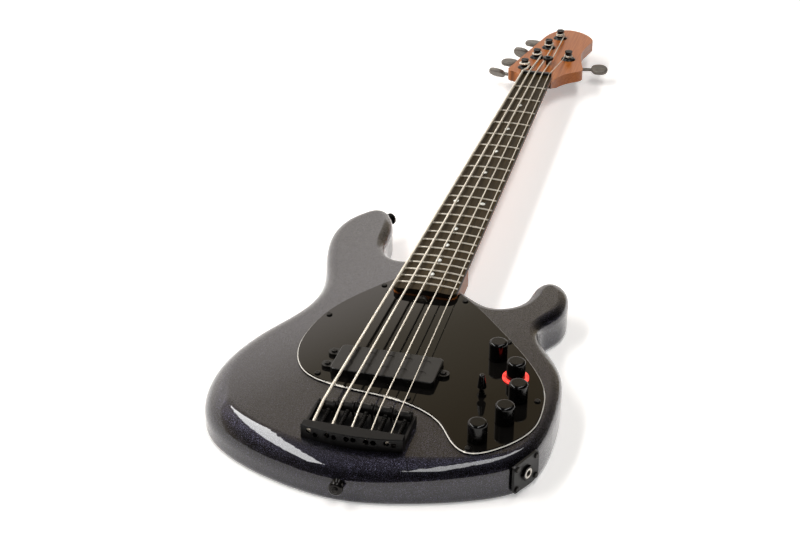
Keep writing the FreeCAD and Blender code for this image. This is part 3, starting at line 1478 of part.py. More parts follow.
def lever_solid():
    """Return the lever: a ball, a thin rod and a bat-shaped tip, turned as one piece."""
    ball = size("lever_ball_radius")
    thin = size("lever_rod_radius")
    wide = size("lever_tip_radius")
    narrow = size("lever_tip_end_radius")
    high = size("lever_height")
    ball_top = math.sqrt(ball * ball - thin * thin)
    bulge = TIP_START + size("lever_tip_length") * TIP_BULGE_SHARE
    shoulder = high - narrow * TIP_END_SHARE
    foot = Vector(0, 0, -ball)
    neck_low = Vector(thin, 0, ball_top)
    neck_high = Vector(thin, 0, TIP_START)
    tip_low = Vector(wide * TIP_FOOT_SHARE, 0, TIP_START)
    tip_side = Vector(wide * TIP_SIDE_SHARE, 0, TIP_START + (bulge - TIP_START) * TIP_SIDE_RISE_SHARE)
    tip_wide = Vector(wide, 0, bulge)
    tip_narrow = Vector(narrow, 0, shoulder)
    tip_corner = Vector(narrow * (1 - TIP_CORNER_SHARE), 0, high - narrow * TIP_CORNER_SHARE)
    tip_top = Vector(narrow * TIP_END_SHARE, 0, high)
    profile = [
        Part.Arc(foot, Vector(ball, 0, 0), neck_low),
        Part.LineSegment(neck_low, neck_high),
        Part.LineSegment(neck_high, tip_low),
        Part.Arc(tip_low, tip_side, tip_wide),
        Part.LineSegment(tip_wide, tip_narrow),
        Part.Arc(tip_narrow, tip_corner, tip_top),
        Part.LineSegment(tip_top, Vector(0, 0, high)),
        Part.LineSegment(Vector(0, 0, high), foot),
    ]
    lever = Part.Face(Part.Wire([edge.toShape() for edge in profile])).revolve(Vector(0, 0, 0), Z_AXIS, 360)
    lever.translate(LEVER_PIVOT)
    return lever


node("toggle_lever", shaped("toggle_lever", lever_solid()))

# Preamp board on the floor of the control cavity

board_sheet = box("board_sheet", "board_plate_width", "board_plate_length", "board_plate_thickness")
seat(board_sheet, "toggle_x - board_plate_inset", "toggle_y - board_plate_length / 2", "cavity_floor")
CHIP_PLACES = [(4, 8), (4, 26), (13, 15), (13, 38), (5, 44)]
chips = []
for index, (x, y) in enumerate(CHIP_PLACES, start=1):
    chip = box("chip_%d" % index, "chip_width", "chip_length", "chip_height")
    chips.append(seat(chip, "toggle_x - board_plate_inset + %g" % x,
                      "toggle_y - board_plate_length / 2 + %g" % y, "cavity_floor + board_plate_thickness"))
node("preamp_board", fuse("preamp_board", [board_sheet] + chips))

# Battery box in the back: tray, hinged lid and two batteries

tray_outer = box("tray_outer", "box_width - 2 * box_gap", "box_length - 2 * box_gap", "box_depth")
seat(tray_outer, "box_x - box_width / 2 + box_gap", "box_y - box_length / 2 + box_gap", "0")
tray_inner = box("tray_inner", "box_width - 2 * box_gap - 2 * box_wall",
                 "box_length - 2 * box_gap - 2 * box_wall", "box_depth - box_wall")
seat(tray_inner, "box_x - box_width / 2 + box_gap + box_wall",
     "box_y - box_length / 2 + box_gap + box_wall", "0")
lid_half = size("box_width") / 2 - size("box_gap") - size("box_wall") - size("lid_gap")
lid_low = size("box_y") - size("box_length") / 2 + size("box_gap") + size("box_wall") + size("lid_gap")
LID_PIVOT = Vector(size("box_x"), lid_low + size("lid_thickness") / 2, size("lid_thickness") / 2)
pin_reach = lid_half + size("lid_gap") + size("lid_pin_length")
bore_reach = pin_reach + size("running_gap")
pin_bore = round_bar(LID_PIVOT - X_AXIS * bore_reach, X_AXIS, size("lid_pin_radius") + size("running_gap"),
                     2 * bore_reach)
tray = cut("tray_hollow", tray_outer, tray_inner)
node("battery_box", cut("battery_box", tray, shaped("pin_bore", pin_bore)))

lid_plate = box("lid_plate", "box_width - 2 * box_gap - 2 * box_wall - 2 * lid_gap",
                "box_length - 2 * box_gap - 2 * box_wall - 2 * lid_gap", "lid_thickness")
seat(lid_plate, "box_x - box_width / 2 + box_gap + box_wall + lid_gap",
     "box_y - box_length / 2 + box_gap + box_wall + lid_gap", "0")


LID_ROUND_SHARE = 0.48


def hinge_edge(edge):
    """Tell whether an edge is one of the long lid edges beside the hinge."""
    return edge.BoundBox.XLength > size("box_width") / 2 and edge.BoundBox.YMax < lid_low + FLAT


lid_rounded = rounded("lid_rounded", lid_plate, size("lid_thickness") * LID_ROUND_SHARE, hinge_edge)
pins = shaped("lid_pins", round_bar(LID_PIVOT - X_AXIS * pin_reach, X_AXIS, size("lid_pin_radius"),
                                    2 * pin_reach))
notch_place = Vector(size("box_x"), size("box_y") + size("box_length") / 2 - size("notch_inset"), 0)
finger_notch = shaped("finger_notch", round_bar(notch_place, Z_AXIS, size("notch_radius"),
                                                size("notch_depth")))
node("battery_lid", cut("battery_lid", fuse("lid_and_pins", [lid_rounded, pins]), finger_notch))

battery_parts = []
for side in (-1, 1):
    low = size("box_depth") - size("box_wall") - size("battery_gap") - size("battery_height")
    shift = side * (size("battery_width") + size("battery_gap")) / 2
    corner = Vector(size("box_x") + shift, size("box_y"), low)
    case = Part.makeBox(size("battery_width"), size("battery_length"), size("battery_height"),
                        corner - Vector(size("battery_width") / 2, size("battery_length") / 2, 0))
    long_edges = [edge for edge in case.Edges if edge.BoundBox.YLength > FLAT]
    case = case.makeFillet(size("battery_round"), long_edges)
    for stud in (-size("stud_offset"), size("stud_offset")):
        foot = corner + Vector(stud, size("battery_length") / 2, size("battery_height") / 2)
        case = case.fuse(round_bar(foot, Y_AXIS, size("stud_radius"), size("stud_length")))
    battery_parts.append(case)
node("batteries", shaped("batteries", Part.makeCompound(battery_parts)))

# Output jack in the side wall

jack_blank = jack_block(0, size("jack_plate_thickness"))
jack_blank.Placement = JACK_PLACEMENT
jack_plate_hole = round_bar(JACK_SEAT - JACK_WAY, JACK_WAY, size("jack_sleeve_radius") + size("pilot_gap"),
                            THROUGH)
jack_plate_item = shaped("jack_plate_blank", jack_blank.cut(jack_plate_hole))
node("jack_plate", cut("jack_plate", jack_plate_item, drills))

JACK_MOUTH = JACK_SEAT + JACK_WAY * (size("jack_plate_thickness") + size("jack_nut_height"))
sleeve = round_bar(JACK_MOUTH, JACK_WAY * -1, size("jack_sleeve_radius"),
                   size("jack_bore_length") + size("jack_end_wall"))
jack_bore = round_bar(JACK_MOUTH, JACK_WAY * -1, size("jack_bore_radius"), size("jack_bore_length"))
jack_nut = hexagon(Vector(0, 0, size("jack_plate_thickness")), size("jack_nut_radius"),
                   size("jack_nut_height"))
jack_nut.Placement = JACK_PLACEMENT
node("jack_socket", shaped("jack_socket", sleeve.fuse(jack_nut).cut(jack_bore)))

# Strap buttons


def strap_button(place, way):
    """Return one strap button: a base, a waist and a flange, bored for its screw."""
    base = place - way * size("button_seat")
    reach = size("button_length") - size("button_flange_length")
    foot = Part.makeCone(size("button_base_radius"), size("button_neck_radius"), size("button_foot_length"),
                         base, way)
    waist = round_bar(base, way, size("button_neck_radius"), size("button_length"))
    flare = Part.makeCone(size("button_neck_radius"), size("button_flange_radius"),
                          size("button_flare_length"),
                          base + way * (reach - size("button_flare_length")), way)
    flange = round_bar(base + way * reach, way, size("button_flange_radius"), size("button_flange_length"))
    outer = base + way * size("button_length")
    rim = [edge for edge in flange.Edges if edge.CenterOfMass.distanceToPoint(outer) < size("button_seat")]
    flange = flange.makeFillet(size("button_round"), rim)
    return foot.multiFuse([waist, flare, flange]).removeSplitter()


buttons = shaped("button_blanks", Part.makeCompound([strap_button(*TAIL_BUTTON), strap_button(*HORN_BUTTON)]))
node("strap_buttons", cut("strap_buttons", buttons, drills))

# Tuners: bushings in the face, plates with bearing lugs on the back, posts with gears, keys with worms


def bushing(name):
    """Return one post bushing: a flange on the face and a sleeve in the hole."""
    place = Vector(*POST_PLACES[name], HEAD_FACE)
    flange = Part.makeCone(size("bushing_flange_radius"), size("post_radius") + size("bushing_land"),
                           size("bushing_flange_height"), place)
    sleeve_part = round_bar(place, Z_AXIS * -1, size("bushing_sleeve_radius"), size("bushing_sleeve_length"))
    bore = round_bar(place - Z_AXIS * THROUGH / 2, Z_AXIS, size("post_radius") + size("running_gap"), THROUGH)
    return flange.fuse(sleeve_part).cut(bore)


node("tuner_bushings", shaped("tuner_bushings", Part.makeCompound([bushing(name) for name in STRINGS])))

PLATE_BACK = HEAD_BACK - size("tuner_plate_thickness")
GEAR_TOP = PLATE_BACK - size("gear_gap")
WORM_HEIGHT = GEAR_TOP - size("gear_height") / 2
WORM_OFFSET = size("gear_radius") + size("worm_radius") + size("worm_gap")
LUG_INNER = size("worm_length") / 2 + size("lug_gap")


def tuner_frame(name):
    """Return the placement of a tuner: X along its key, Y along the headstock's edge, Z up."""
    turn = FreeCAD.Rotation(outward(name), Z_AXIS.cross(outward(name)), Z_AXIS, "ZXY")
    return FreeCAD.Placement(Vector(*POST_PLACES[name], 0), turn)


def worm_side(name):
    """Return the side of the post, in its tuner's frame, on which the worm lies: towards the head."""
    return 1 if name == "g" else -1


def tuner_plate(name):
    """Return one tuner plate with two lugs that carry the worm shaft."""
    side = worm_side(name)
    low = -size("tuner_plate_below") if side > 0 else -size("tuner_plate_above")
    length = size("tuner_plate_below") + size("tuner_plate_above")
    sheet_part = Part.makeBox(size("tuner_plate_width"), length, size("tuner_plate_thickness"),
                              Vector(-size("tuner_plate_width") / 2, low, PLATE_BACK))
    corners = [edge for edge in sheet_part.Edges if upright(edge)]
    sheet_part = sheet_part.makeFillet(size("tuner_plate_round"), corners)
    lugs = []
    for start in (-LUG_INNER - size("lug_thickness"), LUG_INNER):
        height = PLATE_BACK - WORM_HEIGHT + size("lug_width") / 2
        lugs.append(Part.makeBox(size("lug_thickness"), size("lug_width"), height, Vector(
            start, side * WORM_OFFSET - size("lug_width") / 2, WORM_HEIGHT - size("lug_width") / 2)))
    post_bore = round_bar(Vector(0, 0, 0), Z_AXIS, size("post_radius") + size("running_gap"), THROUGH)
    shaft_bore = round_bar(Vector(-THROUGH / 2, side * WORM_OFFSET, WORM_HEIGHT), X_AXIS,
                           size("key_shaft_radius") + size("running_gap"), THROUGH)
    plate = sheet_part.multiFuse(lugs).cut(post_bore).cut(shaft_bore)
    plate.Placement = tuner_frame(name)
    return plate


tuner_plates = shaped("tuner_plate_blanks", Part.makeCompound([tuner_plate(name) for name in STRINGS]))
node("tuner_plates", cut("tuner_plates", tuner_plates, drills))


def tuner_post(name):
    """Return one slotted post with its gear wheel."""
    foot = GEAR_TOP - size("gear_height")
    stem = round_bar(Vector(0, 0, foot), Z_AXIS, size("post_radius"), size("post_top") - foot)
    flange_top = HEAD_FACE + size("bushing_flange_height")
    waist_height = size("post_top") - flange_top - size("post_cap")
    groove = round_bar(Vector(0, 0, flange_top + size("post_groove_gap")), Z_AXIS, THROUGH, waist_height)
    groove = groove.cut(round_bar(Vector(0, 0, flange_top), Z_AXIS, size("post_waist_radius"), THROUGH))
    gear = round_bar(Vector(0, 0, foot), Z_AXIS, size("gear_radius"), size("gear_height"))
    teeth = int(size("gear_teeth"))
    gaps = []
    for index in range(teeth):
        turn = 360.0 * index / teeth
        gap_corner = Vector(size("gear_radius") - size("tooth_depth"), -size("tooth_gap") / 2, foot)
        gap = Part.makeBox(2 * size("tooth_depth"), size("tooth_gap"), size("gear_height"), gap_corner)
        gap.rotate(Vector(0, 0, 0), Z_AXIS, turn)
        gaps.append(gap)
    slot_corner = Vector(-size("post_radius"), -size("post_slot_width") / 2,
                         size("post_top") - size("post_slot_depth"))
    slot = Part.makeBox(2 * size("post_radius"), size("post_slot_width"), size("post_slot_depth"),
                        slot_corner)
    post = stem.cut(groove).fuse(gear.cut(gaps[0].multiFuse(gaps[1:]))).cut(slot).removeSplitter()
    post.Placement = tuner_frame(name)
    return post


KEY_SHAFT_SHARE = 0.3
KEY_ROUND_SHARE = 0.38
KEY_TURNS = {"b": 40.0, "e": 5.0, "a": 50.0, "d": 8.0, "g": 6.0}
KEY_OUTLINE = [(-0.5, 0.16), (-0.34, 0.42), (-0.05, 0.5), (0.3, 0.44), (0.5, 0.2)]


def tuner_key(name):
    """Return one key: a lobed paddle, its shaft and the worm."""
    side = worm_side(name)
    length = size("key_length")
    width = size("key_width")
    upper = [(x * length, y * width) for x, y in KEY_OUTLINE]
    points = upper + [(x, -y) for x, y in reversed(upper)]
    outline = smooth_curve(points, closed=True).toShape()
    paddle = Part.Face(Part.Wire(outline)).extrude(Vector(0, 0, size("key_thickness")))
    paddle = paddle.makeFillet(size("key_thickness") * KEY_ROUND_SHARE,
                               [edge for edge in paddle.Edges if edge.BoundBox.ZLength < FLAT])
    paddle.translate(Vector(size("key_reach"), 0, -size("key_thickness") / 2))
    back = -LUG_INNER - size("lug_thickness") - size("shaft_stub")
    shaft_length = size("key_reach") - length * KEY_SHAFT_SHARE - back
    shaft_part = round_bar(Vector(back, 0, 0), X_AXIS, size("key_shaft_radius"), shaft_length)
    worm = round_bar(Vector(-size("worm_length") / 2, 0, 0), X_AXIS, size("worm_radius"), size("worm_length"))
    width = size("worm_groove")
    for ring in range(int(size("worm_turns"))):
        start = Vector(-size("worm_length") / 2 + width + ring * size("worm_pitch"), 0, 0)
        groove = round_bar(start, X_AXIS, 2 * size("worm_radius"), width)
        worm = worm.cut(groove.cut(round_bar(start, X_AXIS, size("key_shaft_radius"), width)))
    key = shaft_part.multiFuse([worm, paddle]).removeSplitter()
    key.rotate(Vector(0, 0, 0), X_AXIS, KEY_TURNS[name])
    key.translate(Vector(0, side * WORM_OFFSET, WORM_HEIGHT))
    key.Placement = tuner_frame(name).multiply(key.Placement)
    return key


for name in STRINGS:
    node("tuner_post_" + name, shaped("tuner_post_" + name, tuner_post(name)))
    node("tuner_key_" + name, shaped("tuner_key_" + name, tuner_key(name)))

# String tree

stem_height = TREE_BUTTON_BOTTOM + size("tree_button_height") / 2 - HEAD_FACE
stem = round_bar(Vector(tree_x(), TREE_LINE, HEAD_FACE), Z_AXIS, size("tree_stem_radius"), stem_height)
button = round_bar(Vector(tree_x(), TREE_LINE, TREE_BUTTON_BOTTOM), Z_AXIS, size("tree_button_radius"),
                   size("tree_button_height"))
button = button.makeFillet(size("tree_button_round"), [edge for edge in button.Edges if not upright(edge)])
node("string_tree", cut("string_tree", shaped("tree_blank", button.fuse(stem)), drills))

# Check every piece, then write it

doc.recompute()
for item in doc.Objects:
    if "Invalid" in item.State or "Error" in item.State:
        raise RuntimeError("%s failed to rebuild" % item.Name)
for label, item in nodes.items():
    if item.Shape.isNull() or not item.Shape.isValid() or not item.Shape.Solids:
        raise RuntimeError("%s has no valid solid" % label)

os.makedirs("parts", exist_ok=True)
for label, item in nodes.items():
    item.Shape.exportStep("parts/%s.step" % label)
    print("%s: %d solids, %.1f mm3" % (label, len(item.Shape.Solids), item.Shape.Volume))
print("%d pieces" % len(nodes))
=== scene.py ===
"""Studio scene of an electric bass guitar with five strings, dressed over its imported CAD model."""

from __future__ import annotations

import json
import logging
import math
from dataclasses import dataclass
from enum import Enum
from typing import Callable, ClassVar, Union

import bpy
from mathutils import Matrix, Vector

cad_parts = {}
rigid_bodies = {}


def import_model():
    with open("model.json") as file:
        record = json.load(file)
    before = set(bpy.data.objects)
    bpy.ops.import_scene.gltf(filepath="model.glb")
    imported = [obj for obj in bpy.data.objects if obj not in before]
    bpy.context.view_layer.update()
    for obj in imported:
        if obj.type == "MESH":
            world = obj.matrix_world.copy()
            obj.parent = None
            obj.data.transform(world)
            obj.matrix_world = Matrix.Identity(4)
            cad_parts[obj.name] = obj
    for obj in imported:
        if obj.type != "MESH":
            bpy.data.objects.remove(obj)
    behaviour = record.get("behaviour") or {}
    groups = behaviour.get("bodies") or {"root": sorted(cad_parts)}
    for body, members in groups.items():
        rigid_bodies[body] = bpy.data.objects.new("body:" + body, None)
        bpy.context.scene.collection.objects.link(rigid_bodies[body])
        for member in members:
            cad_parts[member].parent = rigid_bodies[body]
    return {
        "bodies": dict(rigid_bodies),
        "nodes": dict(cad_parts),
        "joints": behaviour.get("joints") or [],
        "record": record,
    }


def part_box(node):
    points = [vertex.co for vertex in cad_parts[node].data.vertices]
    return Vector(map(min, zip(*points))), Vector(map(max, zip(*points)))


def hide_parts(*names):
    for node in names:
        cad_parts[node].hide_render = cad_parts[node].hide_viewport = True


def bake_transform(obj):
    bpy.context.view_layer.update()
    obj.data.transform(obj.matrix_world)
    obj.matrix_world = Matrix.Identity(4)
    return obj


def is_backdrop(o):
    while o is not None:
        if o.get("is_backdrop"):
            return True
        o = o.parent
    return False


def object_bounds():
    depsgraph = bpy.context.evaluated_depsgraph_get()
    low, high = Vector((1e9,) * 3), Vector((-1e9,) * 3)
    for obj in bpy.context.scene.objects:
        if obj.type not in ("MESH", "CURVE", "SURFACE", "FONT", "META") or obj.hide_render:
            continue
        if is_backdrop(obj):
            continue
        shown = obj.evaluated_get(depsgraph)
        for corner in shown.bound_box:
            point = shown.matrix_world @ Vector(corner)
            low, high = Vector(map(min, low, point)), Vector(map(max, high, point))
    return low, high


LOG = logging.getLogger("bass_guitar")
MM = 0.001
# Length of one wave of the band texture at a scale of one.
WAVE = 2 * math.pi / 20

Socket = bpy.types.NodeSocket
Tree = bpy.types.NodeTree
Setting = Union[Socket, float, tuple]
Settings = dict[Union[str, int], Setting]
Stops = tuple[tuple[float, str], ...]


class StringName(Enum):
    """The five strings, from the thickest to the thinnest."""

    B = "b"
    E = "e"
    A = "a"
    D = "d"
    G = "g"


class Gloss(Enum):
    """How smooth a surface was left, as a roughness."""

    POLISHED = 0.16
    SATIN = 0.34
    MATT = 0.5


class Axis(Enum):
    """The instrument's three directions, by Blender's names for them."""

    WIDTH = "X"
    LENGTH = "Y"
    HEIGHT = "Z"


class Kind(Enum):
    """The kinds of shader node that the materials use, by Blender's names for them."""

    PLACE = "ShaderNodeTexCoord"
    GEOMETRY = "ShaderNodeNewGeometry"
    LIGHT_PATH = "ShaderNodeLightPath"
    MAPPING = "ShaderNodeMapping"
    NOISE = "ShaderNodeTexNoise"
    CELLS = "ShaderNodeTexVoronoi"
    WAVES = "ShaderNodeTexWave"
    RAMP = "ShaderNodeValToRGB"
    RANGE = "ShaderNodeMapRange"
    MIX = "ShaderNodeMix"
    MATH = "ShaderNodeMath"
    VECTOR = "ShaderNodeVectorMath"
    AXES = "ShaderNodeSeparateXYZ"
    SHARES = "ShaderNodeSeparateColor"
    BUMP = "ShaderNodeBump"
    GENERAL = "ShaderNodeBsdfPrincipled"
    MATT = "ShaderNodeBsdfDiffuse"
    GLOW = "ShaderNodeEmission"
    BOTH = "ShaderNodeAddShader"
    WALLS = "ShaderNodeBackground"
    SURFACE_OUT = "ShaderNodeOutputMaterial"
    WORLD_OUT = "ShaderNodeOutputWorld"


def linear(colour: str) -> tuple[float, float, float, float]:
    """Turn an sRGB hex colour into linear light.

    Args:
        colour: Six hex digits after a hash sign.

    Returns:
        Red, green, blue and a full alpha.
    """
    parts = [int(colour[place : place + 2], 16) / 255 for place in (1, 3, 5)]
    return (*(p / 12.92 if p <= 0.04045 else ((p + 0.055) / 1.055) ** 2.4 for p in parts), 1.0)


def per_mm(size: float) -> float:
    """Return the texture scale at which one cell of a pattern is as wide as a size in millimetres."""
    return 1 / (size * MM)


def add_node(
    tree: Tree,
    kind: Kind,
    inputs: Settings | None = None,
    stops: Stops = (),
    **settings: object,
) -> bpy.types.Node:
    """Add one node with its settings, links and colour stops.

    Args:
        tree: Node tree that gets the node.
        kind: The kind of node.
        inputs: Value or source socket for each input, by name or number.
        stops: Place and hex colour of each stop of a colour ramp.
        **settings: Properties of the node itself.

    Returns:
        The new node.
    """
    node = tree.nodes.new(kind.value)
    for key, value in settings.items():
        setattr(node, key, value)
    for key, value in (inputs or {}).items():
        if isinstance(value, Socket):
            tree.links.new(value, node.inputs[key])
        else:
            node.inputs[key].default_value = value
    for number, (place, colour) in enumerate(stops):
        ramp = node.color_ramp.elements
        stop = ramp[number] if number < len(ramp) else ramp.new(place)
        stop.position, stop.color = place, linear(colour)
    return node


@dataclass(frozen=True)
class Finish:
    """A real surface, from which one material is made."""

    name: str

    def surface(self, tree: Tree, place: Socket) -> Settings:
        """Return the shader's inputs.

        Args:
            tree: The material's node tree.
            place: Position on the object, in metres.

        Returns:
            Value or source of each shader input.
        """
        raise NotImplementedError

    def material(self) -> bpy.types.Material:
        """Make the material of this finish.

        Returns:
            The material, with its nodes.
        """
        made = bpy.data.materials.new(self.name)
        made.use_nodes = True
        tree = made.node_tree
        tree.nodes.clear()
        place = add_node(tree, Kind.PLACE).outputs["Object"]
        shader = add_node(tree, Kind.GENERAL, self.surface(tree, place))
        add_node(tree, Kind.SURFACE_OUT, {"Surface": shader.outputs["BSDF"]})
        return made


@dataclass(frozen=True)
class FlakeLacquer(Finish):
    """Metal-flake polyester lacquer, sprayed on wood and buffed under a clear coat.

    The eye gets a dark charcoal ground with blue and violet sparks, and a sharp wet reflection on top.
    Real flakes are about 0.15 mm, too fine to show, so they are drawn 0.32 mm wide.

    Attributes:
        flake: Width of a flake, in millimetres.
        tilt: How far the flakes lean out of the surface.
        mottle: Width of a duller cloud, in millimetres.
        dulling: Roughness of the flakes, from the clearest cloud to the dullest.
        buffed: Roughness of the clear coat.
        tones: Colours of the flakes, from the many dark ones to the few bright ones.
    """

    flake: float = 0.32
    tilt: float = 0.4
    mottle: float = 14.0
    dulling: tuple[float, float] = (0.34, 0.46)
    buffed: float = 0.03
    tones: Stops = ((0.0, "#0f0e11"), (0.5, "#18171b"), (0.8, "#25242b"), (0.94, "#3d3b49"), (1.0, "#6c6982"))

    def surface(self, tree: Tree, place: Socket) -> Settings:
        """Return the shader's inputs: flakes that differ in colour and lean, under a clear coat.

        Args:
            tree: The material's node tree.
            place: Position on the object, in metres.

        Returns:
            Value or source of each shader input.
        """
        cells = add_node(tree, Kind.CELLS, {"Vector": place, "Scale": per_mm(self.flake)})
        shares = add_node(tree, Kind.SHARES, {"Color": cells.outputs["Color"]})
        colour = add_node(tree, Kind.RAMP, {"Fac": shares.outputs["Red"]}, self.tones)
        lean = add_node(
            tree, Kind.VECTOR, {0: cells.outputs["Color"], 1: (0.5, 0.5, 0.5)}, operation="SUBTRACT"
        )
        part = add_node(tree, Kind.VECTOR, {0: lean.outputs["Vector"], "Scale": self.tilt}, operation="SCALE")
        flat = add_node(tree, Kind.GEOMETRY).outputs["Normal"]
        tilted = add_node(tree, Kind.VECTOR, {0: flat, 1: part.outputs["Vector"]}, operation="ADD")
        normal = add_node(tree, Kind.VECTOR, {0: tilted.outputs["Vector"]}, operation="NORMALIZE")
        cloud = add_node(tree, Kind.NOISE, {"Vector": place, "Scale": per_mm(self.mottle), "Detail": 3.0})
        clear, dull = self.dulling
        rough = add_node(tree, Kind.RANGE, {"Value": cloud.outputs["Fac"], "To Min": clear, "To Max": dull})
        return {
            "Base Color": colour.outputs["Color"],
            "Metallic": 1.0,
            "Roughness": rough.outputs["Result"],
            "Normal": normal.outputs["Vector"],
            "Coat Weight": 1.0,
            "Coat Roughness": self.buffed,
        }


@dataclass(frozen=True)
class Wood(Finish):
    """Planed hardwood with its grain along the strings, oiled or left bare.

    The eye gets long streaks of two or three tones, short dark pores, a soft sheen that breaks along them,
    and darker wood where a face crosses the grain: the end grain's own darker tone, with painted shade on
    those end faces.

    Attributes:
        tones: Colours of the streaks, from the darkest.
        streak: Width and length of a streak, in millimetres.
        pore: Width and length of a pore, in millimetres.
        pore_strength: Strength of the pores' relief.
        gloss: How smooth the wood was left.
        shine: Strength of the reflection.
        end_grain_and_shade: Colour of a face across the grain: the end grain's own darker tone, with painted
            shade on it.
        end_cut_and_shade: How squarely a face crosses the grain where that colour begins, and where it is
            full.
        pore_depth: Depth of a pore, in millimetres.
        pore_gloss: What a pore adds to the roughness, and what the wood between pores adds.
    """

    tones: Stops
    streak: tuple[float, float] = (2.6, 70.0)
    pore: tuple[float, float] = (0.5, 9.0)
    pore_strength: float = 0.25
    gloss: Gloss = Gloss.SATIN
    shine: float = 0.5
    # Darker end grain, with painted shade on the end faces.
    end_grain_and_shade: str = "#4a2a14"
    end_cut_and_shade: tuple[float, float] = (0.8, 0.98)
    pore_depth: float = 0.05
    pore_gloss: tuple[float, float] = (0.1, -0.06)

    def surface(self, tree: Tree, place: Socket) -> Settings:
        """Return the shader's inputs: streaks, and end grain with painted shade, for the colour; pores for
        the sheen and the relief.

        Args:
            tree: The material's node tree.
            place: Position on the object, in metres.

        Returns:
            Value or source of each shader input.
        """
        wide, long = (per_mm(size) for size in self.streak)
        run = add_node(tree, Kind.MAPPING, {"Vector": place, "Scale": (wide, long, wide)})
        streaks = add_node(
            tree,
            Kind.NOISE,
            {
                "Vector": run.outputs["Vector"],
                "Scale": 1.0,
                "Detail": 6.0,
                "Roughness": 0.62,
                "Distortion": 0.6,
            },
        )
        colour = add_node(tree, Kind.RAMP, {"Fac": streaks.outputs["Fac"]}, self.tones)
        # Faces across the grain get the darker end grain colour, which also paints shade on those end faces.
        normal = add_node(tree, Kind.GEOMETRY).outputs["Normal"]
        facing = add_node(tree, Kind.AXES, {"Vector": normal})
        across = add_node(tree, Kind.MATH, {0: facing.outputs["Y"]}, operation="ABSOLUTE")
        begins, full = self.end_cut_and_shade
        cut = add_node(tree, Kind.RANGE, {"Value": across.outputs[0], "From Min": begins, "From Max": full})
        toned = add_node(
            tree,
            Kind.MIX,
            {"Factor": cut.outputs["Result"], 6: colour.outputs["Color"], 7: linear(self.end_grain_and_shade)},
            data_type="RGBA",
        )
        wide, long = (per_mm(size) for size in self.pore)
        fine = add_node(tree, Kind.MAPPING, {"Vector": place, "Scale": (wide, long, wide)})
        pores = add_node(tree, Kind.NOISE, {"Vector": fine.outputs["Vector"], "Scale": 1.0, "Detail": 2.0})
        open_pore, between = (self.gloss.value + change for change in self.pore_gloss)
        rough = add_node(
            tree, Kind.RANGE, {"Value": pores.outputs["Fac"], "To Min": open_pore, "To Max": between}
        )
        height, strength, depth = pores.outputs["Fac"], self.pore_strength, self.pore_depth * MM
        relief = add_node(tree, Kind.BUMP, {"Height": height, "Strength": strength, "Distance": depth})
        return {
            "Base Color": toned.outputs[2],
            "Roughness": rough.outputs["Result"],
            "Specular IOR Level": self.shine,
            "Normal": relief.outputs["Normal"],
        }


@dataclass(frozen=True)
class Plastic(Finish):
    """Moulded or turned plastic, or a baked coat of plastic powder.

    The eye gets one even colour with a faint cloud, and a fine grain that breaks its gloss.

    Attributes:
        colour: Main colour.
        cloud_colour: Colour of the clouds.
        gloss: How smooth the surface was left.
        grain: Width of the grain, in millimetres.
        grain_strength: Strength of the grain's relief.
        shine: Strength of the reflection.
        cloud: Width of a cloud, in millimetres.
        grain_depth: Depth of the grain, in millimetres.
        spread: Least and greatest roughness, as shares of the gloss.
    """

    colour: str
    cloud_colour: str
    gloss: Gloss = Gloss.SATIN
    grain: float = 0.4
    grain_strength: float = 0.1
    shine: float = 0.5
    cloud: float = 9.0
    grain_depth: float = 0.03
    spread: tuple[float, float] = (0.8, 1.25)

    def surface(self, tree: Tree, place: Socket) -> Settings:
        """Return the shader's inputs: a cloud for the colour, a grain for the gloss and the relief.

        Args:
            tree: The material's node tree.
            place: Position on the object, in metres.

        Returns:
            Value or source of each shader input.
        """
        cloud = add_node(tree, Kind.NOISE, {"Vector": place, "Scale": per_mm(self.cloud), "Detail": 4.0})
        tones = ((0.35, self.colour), (0.7, self.cloud_colour))
        colour = add_node(tree, Kind.RAMP, {"Fac": cloud.outputs["Fac"]}, tones)
        grain = add_node(tree, Kind.NOISE, {"Vector": place, "Scale": per_mm(self.grain), "Detail": 2.0})
        least, greatest = (self.gloss.value * share for share in self.spread)
        rough = add_node(
            tree, Kind.RANGE, {"Value": grain.outputs["Fac"], "To Min": least, "To Max": greatest}
        )
        height, strength, depth = grain.outputs["Fac"], self.grain_strength, self.grain_depth * MM
        relief = add_node(tree, Kind.BUMP, {"Height": height, "Strength": strength, "Distance": depth})
        return {
            "Base Color": colour.outputs["Color"],
            "Roughness": rough.outputs["Result"],
            "Normal": relief.outputs["Normal"],
            "Specular IOR Level": self.shine,
        }


